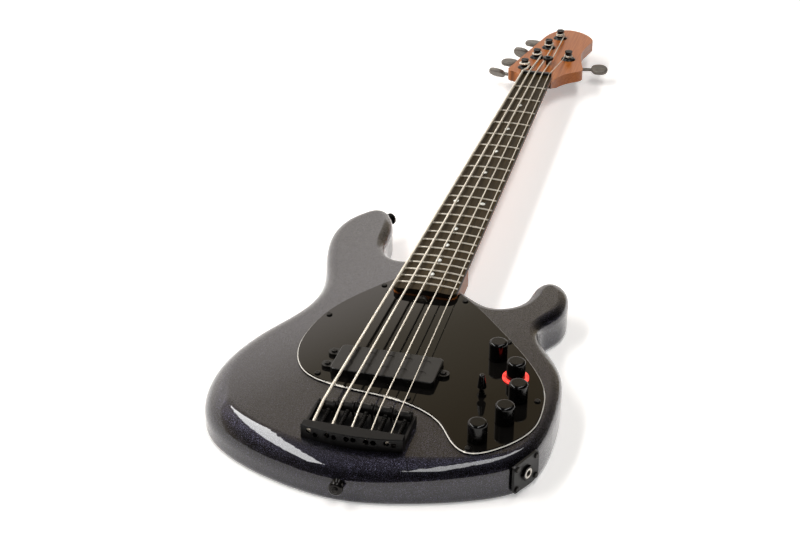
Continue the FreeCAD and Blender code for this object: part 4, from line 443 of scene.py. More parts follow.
@dataclass(frozen=True)
class GuardLaminate(Finish):
    """Three-ply sheet, black over white over black, polished and bevelled.

    The eye gets a black mirror with faint wiping marks, and a white line where the bevel cuts the middle ply.

    Attributes:
        base: Height of the sheet's lower face, in millimetres.
        thickness: Thickness of the sheet, in millimetres.
        plies: Where each ply starts, as a share of the thickness, and its colour.
        wipe: Width and length of a wiping mark, in millimetres.
        wiped: Roughness, from the clearest place to the most wiped.
        shine: Strength of the reflection.
        tint: Colour of the reflection.
    """

    base: float = 41.0
    thickness: float = 2.5
    plies: Stops = ((0.0, "#0c0b0a"), (0.46, "#dedad2"), (0.76, "#0b0a09"))
    wipe: tuple[float, float] = (0.8, 30.0)
    wiped: tuple[float, float] = (0.02, 0.09)
    shine: float = 0.3
    tint: str = "#fff6e6"

    def surface(self, tree: Tree, place: Socket) -> Settings:
        """Return the shader's inputs: plies by height, wiping marks in the gloss.

        Args:
            tree: The material's node tree.
            place: Position on the object, in metres.

        Returns:
            Value or source of each shader input.
        """
        axes = add_node(tree, Kind.AXES, {"Vector": place})
        lower, upper = self.base * MM, (self.base + self.thickness) * MM
        height = add_node(
            tree, Kind.RANGE, {"Value": axes.outputs["Z"], "From Min": lower, "From Max": upper}
        )
        plies = add_node(tree, Kind.RAMP, {"Fac": height.outputs["Result"]}, self.plies)
        plies.color_ramp.interpolation = "CONSTANT"
        wide, long = (per_mm(size) for size in self.wipe)
        run = add_node(tree, Kind.MAPPING, {"Vector": place, "Scale": (wide, long, wide)})
        wipes = add_node(tree, Kind.NOISE, {"Vector": run.outputs["Vector"], "Scale": 1.0, "Detail": 5.0})
        clear, dull = self.wiped
        rough = add_node(tree, Kind.RANGE, {"Value": wipes.outputs["Fac"], "To Min": clear, "To Max": dull})
        return {
            "Base Color": plies.outputs["Color"],
            "Roughness": rough.outputs["Result"],
            "Specular IOR Level": self.shine,
            "Specular Tint": linear(self.tint),
        }


@dataclass(frozen=True)
class Metal(Finish):
    """Bare, plated or anodised metal, turned, cast or brushed.

    The eye gets the metal's own tone in the reflection, drawn out by fine tool marks, with duller patches.

    Attributes:
        colour: Colour of the metal or of its plating.
        worn_colour: Colour of a worn patch.
        gloss: How smooth the surface was left.
        marks: Size of a tool mark along X, Y and Z, in millimetres.
        patch: Width of a worn patch, in millimetres.
        metallic: How much of the surface reflects as bare metal does.
        mark_strength: Strength of the marks' relief.
        mark_depth: Depth of a mark, in millimetres.
        spread: Least and greatest roughness, as shares of the gloss.
    """

    colour: str
    worn_colour: str
    gloss: Gloss = Gloss.POLISHED
    marks: tuple[float, float, float] = (0.25, 6.0, 0.25)
    patch: float = 6.0
    metallic: float = 1.0
    mark_strength: float = 0.08
    mark_depth: float = 0.02
    spread: tuple[float, float] = (0.7, 1.35)

    def surface(self, tree: Tree, place: Socket) -> Settings:
        """Return the shader's inputs: patches for the colour, tool marks for the gloss and the relief.

        Args:
            tree: The material's node tree.
            place: Position on the object, in metres.

        Returns:
            Value or source of each shader input.
        """
        patches = add_node(tree, Kind.NOISE, {"Vector": place, "Scale": per_mm(self.patch), "Detail": 5.0})
        tones = ((0.4, self.colour), (0.75, self.worn_colour))
        colour = add_node(tree, Kind.RAMP, {"Fac": patches.outputs["Fac"]}, tones)
        scale = tuple(per_mm(size) for size in self.marks)
        run = add_node(tree, Kind.MAPPING, {"Vector": place, "Scale": scale})
        marks = add_node(tree, Kind.NOISE, {"Vector": run.outputs["Vector"], "Scale": 1.0, "Detail": 3.0})
        least, greatest = (self.gloss.value * share for share in self.spread)
        rough = add_node(
            tree, Kind.RANGE, {"Value": marks.outputs["Fac"], "To Min": least, "To Max": greatest}
        )
        height, strength, depth = marks.outputs["Fac"], self.mark_strength, self.mark_depth * MM
        relief = add_node(tree, Kind.BUMP, {"Height": height, "Strength": strength, "Distance": depth})
        return {
            "Base Color": colour.outputs["Color"],
            "Metallic": self.metallic,
            "Roughness": rough.outputs["Result"],
            "Normal": relief.outputs["Normal"],
        }


@dataclass(frozen=True)
class JackMetal(Finish):
    """Nickel-plated brass sleeve under a blackened nut, both turned.

    The eye gets a bright ring round the hole in the middle of a dark nut.

    Attributes:
        seat: Where the jack's axis meets the body's edge, in millimetres.
        turn: Which way the jack faces, in degrees from the X axis.
        sleeve: Radius of the bright sleeve, in millimetres.
        reach: Radius that takes in the whole nut, in millimetres.
        blend: Width of the line between the metals, as a share of the reach.
        nickel: Colours of the sleeve at its middle and its edge.
        nut: Colour of the nut.
        marks: How many turning marks lie along the reach.
        turned: Roughness, from the smoothest mark to the dullest.
        metallic: How much of the surface reflects as bare metal does.
    """

    seat: tuple[float, float, float] = (158.1, -13.9, 20.5)
    turn: float = -25.0
    sleeve: float = 5.0
    reach: float = 10.0
    blend: float = 0.02
    nickel: tuple[str, str] = ("#d6d2ca", "#cfcac1")
    nut: str = "#1b1a18"
    marks: float = 12.0
    turned: tuple[float, float] = (0.14, 0.34)
    metallic: float = 0.9

    def surface(self, tree: Tree, place: Socket) -> Settings:
        """Return the shader's inputs: two metals by the distance from the jack's axis, with turning marks.

        Args:
            tree: The material's node tree.
            place: Position on the object, in metres.

        Returns:
            Value or source of each shader input.
        """
        local = add_node(
            tree,
            Kind.MAPPING,
            {
                "Vector": place,
                "Location": tuple(part * MM for part in self.seat),
                "Rotation": (0.0, 0.0, math.radians(self.turn)),
            },
            vector_type="TEXTURE",
        )
        across = add_node(
            tree,
            Kind.VECTOR,
            {0: local.outputs["Vector"], 1: (0.0, per_mm(self.reach), per_mm(self.reach))},
            operation="MULTIPLY",
        )
        radius = add_node(tree, Kind.VECTOR, {0: across.outputs["Vector"]}, operation="LENGTH")
        edge = self.sleeve / self.reach
        middle, rim = self.nickel
        tones = ((0.0, middle), (edge, rim), (edge + self.blend, self.nut))
        colour = add_node(tree, Kind.RAMP, {"Fac": radius.outputs["Value"]}, tones)
        marks = add_node(
            tree, Kind.NOISE, {"Vector": across.outputs["Vector"], "Scale": self.marks, "Detail": 3.0}
        )
        smooth, dull = self.turned
        rough = add_node(tree, Kind.RANGE, {"Value": marks.outputs["Fac"], "To Min": smooth, "To Max": dull})
        return {
            "Base Color": colour.outputs["Color"],
            "Metallic": self.metallic,
            "Roughness": rough.outputs["Result"],
        }


@dataclass(frozen=True)
class Pearl(Finish):
    """Cellulose pearl, cut into discs and sanded flush.

    The eye gets a cream white that drifts to pale pink and green in small swirls.

    Attributes:
        swirl: Width of a swirl, in millimetres.
        tones: Colours of the swirls.
    """

    swirl: float = 2.2
    tones: Stops = (
        (0.25, "#e7e4d8"),
        (0.42, "#f6f3ea"),
        (0.55, "#e3ebe6"),
        (0.68, "#f1e4e6"),
        (0.85, "#fbf9f2"),
    )

    def surface(self, tree: Tree, place: Socket) -> Settings:
        """Return the shader's inputs: swirls for the colour, under a thin polish.

        Args:
            tree: The material's node tree.
            place: Position on the object, in metres.

        Returns:
            Value or source of each shader input.
        """
        swirls = add_node(
            tree, Kind.NOISE, {"Vector": place, "Scale": per_mm(self.swirl), "Detail": 4.0, "Distortion": 2.5}
        )
        colour = add_node(tree, Kind.RAMP, {"Fac": swirls.outputs["Fac"]}, self.tones)
        return {
            "Base Color": colour.outputs["Color"],
            "Roughness": 0.25,
            "Coat Weight": 0.6,
            "Coat Roughness": 0.1,
        }


@dataclass(frozen=True)
class LitRing(Finish):
    """Frosted acrylic light ring, lit red from inside.

    The eye gets a clear red glow that is a little stronger over each of its lamps.

    Attributes:
        lamp: Width of a brighter spot, in millimetres.
        acrylic: Colour of the acrylic itself.
        glows: Colours of the glow, between the lamps and over them.
        power: Strength of the glow.
    """

    lamp: float = 5.0
    acrylic: str = "#c8281e"
    glows: Stops = ((0.3, "#f0201c"), (0.7, "#ff5a4c"))
    power: float = 1.3

    def surface(self, tree: Tree, place: Socket) -> Settings:
        """Return the shader's inputs: a red glow that varies round the ring.

        Args:
            tree: The material's node tree.
            place: Position on the object, in metres.

        Returns:
            Value or source of each shader input.
        """
        spots = add_node(tree, Kind.NOISE, {"Vector": place, "Scale": per_mm(self.lamp), "Detail": 1.0})
        glow = add_node(tree, Kind.RAMP, {"Fac": spots.outputs["Fac"]}, self.glows)
        return {
            "Base Color": linear(self.acrylic),
            "Roughness": 0.35,
            "Emission Color": glow.outputs["Color"],
            "Emission Strength": self.power,
        }


@dataclass(frozen=True)
class Wrapped(Finish):
    """Layers of fine wire, film or print laid in even bands along one axis.

    The eye gets a close stripe of two tones.

    Attributes:
        colour: Colour of a band.
        line_colour: Colour of the line between two bands.
        band: Distance from band to band, in millimetres.
        axis: Axis along which the bands follow each other.
        metallic: How much of the surface reflects as bare metal does.
        gloss: How smooth the surface was left.
        line_strength: Strength of the lines' relief.
        line_depth: Depth of a line, in millimetres.
    """

    colour: str
    line_colour: str
    band: float
    axis: Axis = Axis.HEIGHT
    metallic: float = 0.0
    gloss: Gloss = Gloss.SATIN
    line_strength: float = 0.2
    line_depth: float = 0.05

    def surface(self, tree: Tree, place: Socket) -> Settings:
        """Return the shader's inputs: bands for the colour and the relief.

        Args:
            tree: The material's node tree.
            place: Position on the object, in metres.

        Returns:
            Value or source of each shader input.
        """
        bands = add_node(
            tree,
            Kind.WAVES,
            {"Vector": place, "Scale": per_mm(self.band) * WAVE, "Distortion": 0.4, "Detail": 1.0},
            bands_direction=self.axis.value,
        )
        # Between turns of wire, the line's colour is painted shade in the groove.
        tones = ((0.2, self.line_colour), (0.6, self.colour))
        colour = add_node(tree, Kind.RAMP, {"Fac": bands.outputs["Fac"]}, tones)
        height, strength, depth = bands.outputs["Fac"], self.line_strength, self.line_depth * MM
        relief = add_node(tree, Kind.BUMP, {"Height": height, "Strength": strength, "Distance": depth})
        return {
            "Base Color": colour.outputs["Color"],
            "Metallic": self.metallic,
            "Roughness": self.gloss.value,
            "Normal": relief.outputs["Normal"],
        }


# A dark, wet-looking ground with violet sparks.
LACQUER = FlakeLacquer("flake_lacquer_sprayed_and_buffed")
# Warm red-brown streaks with a low sheen of oil.
ROASTED_MAPLE = Wood(
    "roasted_maple_oiled",
    tones=((0.3, "#8d4b1a"), (0.45, "#a05720"), (0.58, "#aa6128"), (0.75, "#b66e32")),
    shine=0.3,
)
# A nearly black brown with open pores and hardly any sheen.
EBONY = Wood(
    "ebony_scraped_and_oiled",
    tones=((0.3, "#20180c"), (0.5, "#2e230f"), (0.75, "#413218")),
    streak=(1.6, 55.0),
    pore=(0.35, 6.0),
    pore_strength=0.4,
    gloss=Gloss.MATT,
    shine=0.14,
    # The end grain's own near black, with painted shade on the board's end face.
    end_grain_and_shade="#120d08",
)
# Thin pale lines with a soft light along them.
FRET_WIRE = Metal(
    "stainless_fret_wire_polished", "#d2cabc", "#b8b0a2", Gloss.SATIN, (6.0, 0.2, 0.2), 6.0, 0.5
)
# Small discs of a shifting cream white.
PEARL = Pearl("cellulose_pearl_sanded")
# A grey black with a faint grain.
NUT_COMPOSITE = Plastic("carbon_composite_moulded", "#0d0d0d", "#191817", Gloss.SATIN, 0.3)
# Dark heads with a dull light on their rims.
BLACK_STEEL = Metal("black_oxide_steel_screws", "#1c1b1a", "#34322f", Gloss.SATIN, (0.2, 0.2, 0.2), 3.0, 0.9)
# A black mirror with a white line round it.
GUARD = GuardLaminate("three_ply_laminate_polished")
# A soft black with a fine pebble that spreads the light.
PICKUP_ABS = Plastic("abs_pickup_cover_moulded", "#0c0b0a", "#131210", Gloss.SATIN, 0.35, 0.25, 0.4)
# Dark discs, a shade lighter than the cover about them.
POLE = Metal(
    "alnico_poles_ground_and_blackened", "#181716", "#2a2826", Gloss.SATIN, (0.3, 0.3, 0.3), 2.0, 0.4
)
# A close stripe of copper turns, with painted shade as the dark line in the groove between each two. Real
# wire is about 0.06 mm thick, too fine to show, so its turns are drawn wider.
COIL = Wrapped("enamelled_copper_wire_wound", "#a5572a", "#5b2c14", 0.19, Axis.HEIGHT, 0.8)
# A deep, even black with a broad, faint sheen.
BRIDGE_BLACK = Plastic("black_powder_coat_baked_on_steel", "#040404", "#080707", Gloss.SATIN, 0.4, 0.15, 0.17)
# Dark barrels with a thin light along each.
SADDLE_BLACK = Metal(
    "black_chrome_steel_turned", "#171615", "#2b2927", Gloss.SATIN, (3.0, 0.2, 0.2), 4.0, 0.8
)
# Dark wire with a small light on each turn.
SPRING_STEEL = Metal(
    "spring_steel_wire_blackened", "#1d1c1b", "#3a3835", Gloss.SATIN, (0.3, 0.3, 0.3), 2.0, 0.9
)
# A pale, warm silver that the wraps break into ticks of light.
STRING_STEEL = Metal(
    "nickel_steel_strings_wound", "#efe6d6", "#d9cfbe", Gloss.SATIN, (0.3, 1.2, 0.3), 20.0, 0.45
)
# A red glow round one knob.
LIT_RING = LitRing("frosted_acrylic_ring_lit")
# A cool grey with long drawing marks.
POT_STEEL = Metal("zinc_plated_steel_pressed", "#b3b1aa", "#8d8b86", Gloss.SATIN, (0.3, 2.0, 0.3))
# A smoky black with a clear light on its rims.
SWITCH_BLACK = Metal(
    "black_chrome_brass_turned", "#181716", "#2c2a28", Gloss.POLISHED, (0.2, 0.2, 1.0), 3.0, 0.8
)
# Green stripes where the copper shows through the mask.
BOARD = Wrapped("glass_fibre_board_with_solder_mask", "#1d4a2c", "#2f6a3e", 1.57, Axis.WIDTH)
# A matt black with a coarse moulding grain.
BOX_ABS = Plastic("abs_battery_box_moulded", "#141413", "#1d1c1b", Gloss.SATIN, 0.5, 0.3)
# A dark case with brass-coloured bands.
BATTERY = Wrapped("battery_steel_case_wrapped", "#262a30", "#b88a3c", 15.1, Axis.LENGTH, 0.3)
# A flat black that hardly reflects.
JACK_ABS = Plastic("abs_jack_plate_moulded", "#070706", "#0e0d0c", Gloss.SATIN, 0.5, 0.2, 0.3)
# A bright ring in a dark nut.
JACK_METAL = JackMetal("nickel_plated_brass_turned")
# A smoky black with the faint skin of a casting.
TUNER_BLACK = Metal("black_chrome_zinc_cast", "#191817", "#2d2b29", Gloss.SATIN, (0.4, 0.4, 0.4), 5.0, 0.7)
# A warm grey without a clear reflection.
KEY_GREY = Metal("black_chrome_keys_satin", "#6f6a63", "#857f76", Gloss.MATT, (0.5, 0.5, 0.5), 5.0, 0.6)
# A glossy black with a small light at its tip.
LEVER_ABS = Plastic("abs_lever_cap_moulded", "#060505", "#0c0b0b", Gloss.POLISHED, 0.5, 0.05, 0.4)
# The deepest black, with a clear light on its rims.
KNOB_ACRYLIC = Plastic(
    "acrylic_knobs_turned_and_polished", "#040404", "#080707", Gloss.POLISHED, 0.6, 0.03, 0.3
)
# A bright grey with long turning marks.
ROD_STEEL = Metal("bright_steel_rod_turned", "#8f8a83", "#6b6761", Gloss.SATIN, (0.2, 4.0, 0.2))


@dataclass
class SubAssembly:
    """A group of pieces that are made and dressed together.

    Attributes:
        finishes: The finish of each CAD node in the group.
        frame: The loaded frame.
    """

    finishes: ClassVar[dict[str, Finish]] = {}
    frame: dict

    def build(self) -> None:
        """Make the pieces that the CAD model leaves to the scene; most groups have none."""

    def dress(self) -> None:
        """Give each CAD node of the group its material."""
        for node, finish in self.finishes.items():
            mesh = self.frame["nodes"][node].data
            mesh.materials.clear()
            mesh.materials.append(material_of(finish))
            LOG.info("%s: %s", node, finish.name)


def material_of(finish: Finish) -> bpy.types.Material:
    """Return a finish's material, made once."""
    return bpy.data.materials.get(finish.name) or finish.material()


def swept(
    name: str, path: list[Vector], girth: Callable[[float, float], float], sides: int
) -> bpy.types.Object:
    """Return a closed tube that follows a path.

    Args:
        name: Name of the piece.
        path: Points of the tube's axis, in metres.
        girth: Radius at a length along the axis and an angle round it, in metres.
        sides: Corners of each ring.

    Returns:
        The tube, linked to the scene.
    """
    points: list[Vector] = []
    along = 0.0
    side = Vector((0.0, 0.0, 1.0))
    for number, place in enumerate(path):
        before, after = path[max(number - 1, 0)], path[min(number + 1, len(path) - 1)]
        way = (after - before).normalized()
        side = (side - way * side.dot(way)).normalized()
        other = way.cross(side)
        along += (place - before).length
        for corner in range(sides):
            angle = 2 * math.pi * corner / sides
            points.append(place + (side * math.cos(angle) + other * math.sin(angle)) * girth(along, angle))
    faces = [tuple(reversed(range(sides))), tuple(range(len(points) - sides, len(points)))]
    for ring in range(len(path) - 1):
        first, second = ring * sides, (ring + 1) * sides
        for corner in range(sides):
            turned = (corner + 1) % sides
            faces.append((first + corner, first + turned, second + turned, second + corner))
    mesh = bpy.data.meshes.new(name)
    mesh.from_pydata(points, [], faces)
    mesh.shade_smooth()
    piece = bpy.data.objects.new(name, mesh)
    bpy.context.scene.collection.objects.link(piece)
    return piece


def per_string(prefix: str, finish: Finish) -> dict[str, Finish]:
    """Return the finish of a node that each string has one of."""
    return {f"{prefix}_{name.value}": finish for name in StringName}


@dataclass
class BodyShell(SubAssembly):
    """The lacquered body with what is screwed to it."""

    finishes: ClassVar[dict[str, Finish]] = {
        "body": LACQUER,
        "neck_plate": BLACK_STEEL,
        "neck_bolts": BLACK_STEEL,
        "strap_buttons": SWITCH_BLACK,
        "wood_screws": BLACK_STEEL,
    }


@dataclass
class NeckAndBoard(SubAssembly):
    """The bolt-on neck with its fingerboard, frets, dots, nut and truss rod."""

    finishes: ClassVar[dict[str, Finish]] = {
        "neck": ROASTED_MAPLE,
        "fingerboard": EBONY,
        "frets": FRET_WIRE,
        "position_dots": PEARL,
        "nut": NUT_COMPOSITE,
        "truss_rod": ROD_STEEL,
    }


@dataclass
class Tuners(SubAssembly):
    """The five open-gear tuners and the string tree on the headstock."""

    finishes: ClassVar[dict[str, Finish]] = {
        "tuner_plates": TUNER_BLACK,
        "tuner_bushings": TUNER_BLACK,
        "string_tree": TUNER_BLACK,
        **per_string("tuner_post", TUNER_BLACK),
        **per_string("tuner_key", KEY_GREY),
    }


@dataclass
class GuardAndPickup(SubAssembly):
    """The pickguard and the pickup that stands in it."""

    finishes: ClassVar[dict[str, Finish]] = {
        "pickguard": GUARD,
        "pickup_cover": PICKUP_ABS,
        "pickup_pole_pieces": POLE,
        "pickup_coils": COIL,
    }


@dataclass
class Controls(SubAssembly):
    """Knobs, lit ring, toggle switch and the circuit under the guard."""

    finishes: ClassVar[dict[str, Finish]] = {
        **{f"knob_{number}": KNOB_ACRYLIC for number in range(1, 6)},
        "led_ring": LIT_RING,
        "potentiometers": POT_STEEL,
        "toggle_switch": SWITCH_BLACK,
        "toggle_lever": LEVER_ABS,
        "preamp_board": BOARD,
    }


@dataclass(frozen=True)
class Spring:
    """A coil spring of round wire with closed ends, in millimetres.

    Attributes:
        begin: Where it rests on the bridge's tail, along Y.
        end: Where it presses on the saddle, along Y.
        mean: Radius of the wire's axis.
        wire: Radius of the wire.
        turns: Turns in all.
        closed: Turns at each end that lie close together.
        closeness: Distance between close turns, in radii of the wire.
        steps: Points along one turn.
        sides: Corners of the wire's section.
    """

    begin: float = -33.9
    end: float = -6.2
    mean: float = 2.35
    wire: float = 0.4
    turns: float = 10.5
    closed: float = 1.0
    closeness: float = 2.1
    steps: int = 24
    sides: int = 8

    def girth(self, along: float, angle: float) -> float:
        """Return the wire's radius, in metres; it is the same all along and all round."""
        return self.wire * MM

    def advance(self, turn: float) -> float:
        """Return how far along the spring a turn lies, in millimetres.

        Args:
            turn: Turns from the spring's first end.

        Returns:
            The distance from that end.
        """
        tight = self.closeness * self.wire
        pitch = (self.end - self.begin - 2 * self.closed * tight) / (self.turns - 2 * self.closed)
        last = max(turn - (self.turns - self.closed), 0.0)
        first = min(turn, self.closed)
        return (first + last) * tight + (turn - first - last) * pitch

    def path(self, x: float, z: float) -> list[Vector]:
        """Return the wire's axis round a screw.

        Args:
            x: Place of the screw's axis, in metres.
            z: Height of the screw's axis, in metres.

        Returns:
            Points along the wire, in metres.
        """
        points = []
        radius = self.mean * MM
        for step in range(round(self.turns * self.steps) + 1):
            turn = step / self.steps
            angle = 2 * math.pi * turn
            y = (self.begin + self.advance(turn)) * MM
            points.append(Vector((x + radius * math.cos(angle), y, z + radius * math.sin(angle))))
        return points


@dataclass(frozen=True)
class StringBed:
    """Where the strings lie, in millimetres; Y runs from the saddles to the headstock.

    Attributes:
        middle: Row of the middle string, counted from the thickest.
        saddle_gap: Distance between the strings over the saddles.
        nut_gap: Distance between the strings in the nut.
        arch: Radius of the arch that the strings follow, which is the fingerboard's.
        ball_seat: Where the balls end in the bridge's tail.
        tail: Where the strings leave the bridge's tail.
        tail_height: Height of the strings in the bridge's tail.
        saddle_height: Height of the middle string over its saddle.
        nut: Middle of the nut.
        nut_floor: Height of the middle string's underside in the nut.
        tree: Where the string tree stands.
        tree_tops: Height of the tops of the strings under the tree.
        foot: Height of the lowest turn's underside on a post.
        waist: Radius that the turns on a post lie on.
        level_run: Length that runs level to a post.
        first_post: The first post of the row on the bass side.
        last_post: The last post of that row.
        row_steps: Steps from post to post in that row.
        treble_post: The post on the treble side.
    """

    middle: int = 2
    saddle_gap: float = 18.5
    nut_gap: float = 9.5
    arch: float = 279.0
    ball_seat: float = -39.3
    tail: float = -34.7
    tail_height: float = 50.5
    saddle_height: float = 57.0
    nut: float = 866.1
    nut_floor: float = 54.1
    tree: float = 935.0
    tree_tops: float = 47.78
    foot: float = 44.2
    waist: float = 4.85
    level_run: float = 14.0
    first_post: tuple[float, float] = (-25.4, 913.5)
    last_post: tuple[float, float] = (3.5, 1046.2)
    row_steps: int = 3
    treble_post: tuple[float, float] = (30.3, 962.2)

    def drop(self, x: float) -> float:
        """Return how far the arch falls at a distance from the middle."""
        return x * x / (2 * self.arch)

    def post(self, row: int) -> Vector:
        """Return the middle of a string's post.

        Args:
            row: The string's row, counted from the thickest.

        Returns:
            The post's place on the headstock.
        """
        if row > self.row_steps:
            return Vector(self.treble_post)
        return Vector(self.first_post).lerp(Vector(self.last_post), row / self.row_steps)


@dataclass(frozen=True)
class BassString:
    """One string: a core with round wire wrapped about it, from its ball end to the turns on its post.

    Real wraps are about 0.4 mm wide, too fine to show, so they are drawn about 1 mm wide.

    Attributes:
        radius: Outer radius, in millimetres.
        turns: Turns on the post.
        row: Place among the strings, counted from the thickest.
        under_tree: Whether the string tree holds it down.
        side: Which way it goes round the post: 1 is counter-clockwise.
        bed: Where the strings lie.
        ball_radius: Radius of the ball end, in millimetres.
        ball_length: Length of the ball end, in millimetres.
        shoulder: Length over which the ball narrows to the string, in millimetres.
        bend: Radius of the bends, in millimetres.
        bend_steps: Steps along a bend.
        turn_gap: Gap between two turns on the post, in millimetres.
        turn_steps: Steps along a turn on the post.
        relief: Depth of the grooves between wraps, as a share of the radius.
        least_wrap: Width of a wrap on the thinnest core, in millimetres.
        wrap_share: What each millimetre of radius adds to that width.
        tail_held: Place along Y up to which the tail would stay with the bridge, in millimetres; not used.
        length_held: Place along Y from which the string would stay with the neck, in millimetres; not used.
        led: How far from its bend over the saddle it would follow the saddle fully, in millimetres; not used.
        rings: Rings along one wrap.
        sides: Corners of a ring.
    """

    radius: float
    turns: float
    row: int
    under_tree: bool = False
    side: int = 1
    bed: StringBed = StringBed()
    ball_radius: float = 2.6
    ball_length: float = 4.2
    shoulder: float = 0.01
    bend: float = 12.0
    bend_steps: int = 4
    turn_gap: float = 0.5
    turn_steps: int = 48
    relief: float = 0.16
    least_wrap: float = 0.45
    wrap_share: float = 0.5
    tail_held: float = -34.0
    length_held: float = 400.0
    led: float = 5.0
    rings: int = 6
    sides: int = 8

    @property
    def wrap(self) -> float:
        """Width of one drawn wrap, in millimetres."""
        return self.least_wrap + self.wrap_share * self.radius

    @property
    def post(self) -> Vector:
        """Middle of the string's post, in millimetres."""
        return self.bed.post(self.row)

    def girth(self, along: float, angle: float) -> float:
        """Return the radius of the ball end or of the wrapped string at a place.

        Args:
            along: Length from the string's end, in metres.
            angle: Angle round the string.

        Returns:
            The radius, in metres.
        """
        length = along / MM
        if length < self.ball_length:
            return self.ball_radius * MM
        crown = 0.5 + 0.5 * math.cos(angle - 2 * math.pi * length / self.wrap)
        return self.radius * (1 - self.relief * (1 - crown)) * MM

    def arrival(self, source: Vector) -> tuple[Vector, Vector]:
        """Return where the string meets its post when it comes straight from a point.

        Args:
            source: The point that it comes from, in millimetres.

        Returns:
            Where the lowest turn begins, and the string's way there.
        """
        flat = self.post - source.xy
        reach = self.bed.waist + self.radius
        bearing = math.atan2(flat.y, flat.x) - self.side * math.asin(reach / flat.length)
        way = Vector((math.cos(bearing), math.sin(bearing), 0.0))
        outward = Vector((way.y, -way.x, 0.0)) * self.side
        return Vector((*self.post, self.bed.foot + self.radius)) + outward * reach, way

    def corners(self) -> list[Vector]:
        """Lay the string over the saddle and the nut to its post.

        Returns:
            Where the axis starts, bends and meets its post, in millimetres.
        """
        bed = self.bed
        x, nut_x = ((self.row - bed.middle) * gap for gap in (bed.saddle_gap, bed.nut_gap))
        stops = [
            Vector((x, bed.ball_seat, bed.tail_height)),
            Vector((x, bed.tail, bed.tail_height)),
            Vector((x, 0.0, bed.saddle_height - bed.drop(x))),
            Vector((nut_x, bed.nut, bed.nut_floor + self.radius - bed.drop(nut_x))),
        ]
        if self.under_tree:
            share = (bed.tree - bed.nut) / (self.post.y - bed.nut)
            straight = stops[-1].lerp(self.arrival(stops[-1])[0], share)
            stops.append(Vector((straight.x, bed.tree, bed.tree_tops - self.radius)))
        end, way = self.arrival(stops[-1])
        return stops + [end - way * bed.level_run, end]

    def bent(self, stops: list[Vector]) -> list[Vector]:
        """Return a line with its corners eased.

        Args:
            stops: The line's ends and corners, in millimetres.

        Returns:
            Points along the eased line, in millimetres.
        """
        line = [stops[0]]
        for before, corner, after in zip(stops, stops[1:], stops[2:]):
            way_in, way_out = (corner - before).normalized(), (after - corner).normalized()
            setback = self.bend * math.tan(way_in.angle(way_out) / 2)
            start, end = corner - way_in * setback, corner + way_out * setback
            for step in range(self.bend_steps + 1):
                share = step / self.bend_steps
                line.append(start.lerp(corner, share).lerp(corner.lerp(end, share), share))
        return line + [stops[-1]]

    def turned(self, arrival: Vector) -> list[Vector]:
        """Return the axis of the turns on the post.

        Args:
            arrival: Where the lowest turn begins, in millimetres.

        Returns:
            Points along the turns, in millimetres.
        """
        out = arrival.xy - self.post
        begin = math.atan2(out.y, out.x)
        climb = (2 * self.radius + self.turn_gap) * self.turns
        line = []
        count = round(self.turns * self.turn_steps)
        for step in range(1, count + 1):
            share = step / count
            angle = begin + self.side * 2 * math.pi * self.turns * share
            flat = self.post + Vector((math.cos(angle), math.sin(angle))) * out.length
            line.append(Vector((*flat, arrival.z + climb * share)))
        return line

    def path(self) -> list[Vector]:
        """Follow the string from its ball end to its last turn.

        Returns:
            Points of the axis, in steps that follow the wraps, in metres.
        """
        step = self.wrap / self.rings
        stops = self.corners()
        line = self.bent(stops) + self.turned(stops[-1])
        ball = line[0] - Vector((0.0, self.ball_length, 0.0))
        points = [ball, line[0] - Vector((0.0, self.shoulder, 0.0))]
        rest = 0.0
        for first, second in zip(line, line[1:]):
            length = (second - first).length
            while rest < length:
                points.append(first.lerp(second, rest / length))
                rest += step
            rest -= length
        return [point * MM for point in points]


STRINGS = {
    StringName.B: BassString(radius=1.65, turns=1.0, row=0),
    StringName.E: BassString(radius=1.33, turns=1.25, row=1),
    StringName.A: BassString(radius=1.08, turns=1.5, row=2, under_tree=True),
    StringName.D: BassString(radius=0.83, turns=2.0, row=3, under_tree=True),
    StringName.G: BassString(radius=0.57, turns=2.25, row=4, side=-1),
}


@dataclass
class BridgeAndStrings(SubAssembly):
    """The bridge with its saddles, screws and springs, and the strings that it holds."""

    spring: Spring = Spring()

    finishes: ClassVar[dict[str, Finish]] = {
        "bridge_plate": BRIDGE_BLACK,
        "intonation_springs": SPRING_STEEL,
        **per_string("saddle", SADDLE_BLACK),
        **per_string("intonation_screw", SPRING_STEEL),
        **per_string("string", STRING_STEEL),
    }

    def build(self) -> None:
        """Wind the springs and the strings, which stand for their plainer CAD nodes."""
        for name in StringName:
            self.wind_spring(name)
            self.wind_string(name)

    def wind_spring(self, name: StringName) -> None:
        """Wind one spring round its intonation screw, from the bridge's tail to its saddle.

        Args:
            name: The string that the spring belongs to.
        """
        low, high = (Vector(corner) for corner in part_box(f"intonation_screw_{name.value}"))
        middle = (low + high) / 2
        path = self.spring.path(middle.x, middle.z)
        piece = swept(f"spring_{name.value}", path, self.spring.girth, self.spring.sides)
        piece.data.materials.append(material_of(SPRING_STEEL))
        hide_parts("intonation_springs")
        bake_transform(piece)
        LOG.info("%s: %.1f turns", piece.name, self.spring.turns)

    def wind_string(self, name: StringName) -> None:
        """Wind one string in two lengths that meet over the saddle.

        Args:
            name: The string.
        """
        run = STRINGS[name]
        path = run.path()
        split = next(number for number, place in enumerate(path) if place.y > 0.0)
        before = sum((second - first).length for first, second in zip(path, path[1 : split + 1]))
        tail = swept(f"string_tail_{name.value}", path[: split + 1], run.girth, run.sides)
        length = swept(
            f"wound_string_{name.value}",
            path[split:],
            lambda along, angle: run.girth(before + along, angle),
            run.sides,
        )
        for piece, held, led in ((tail, run.tail_held, -run.led), (length, run.length_held, run.led)):
            piece.data.materials.append(material_of(STRING_STEEL))
            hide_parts(f"string_{name.value}")
            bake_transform(piece)
            LOG.info("%s: wraps %.2f mm wide", piece.name, run.wrap)


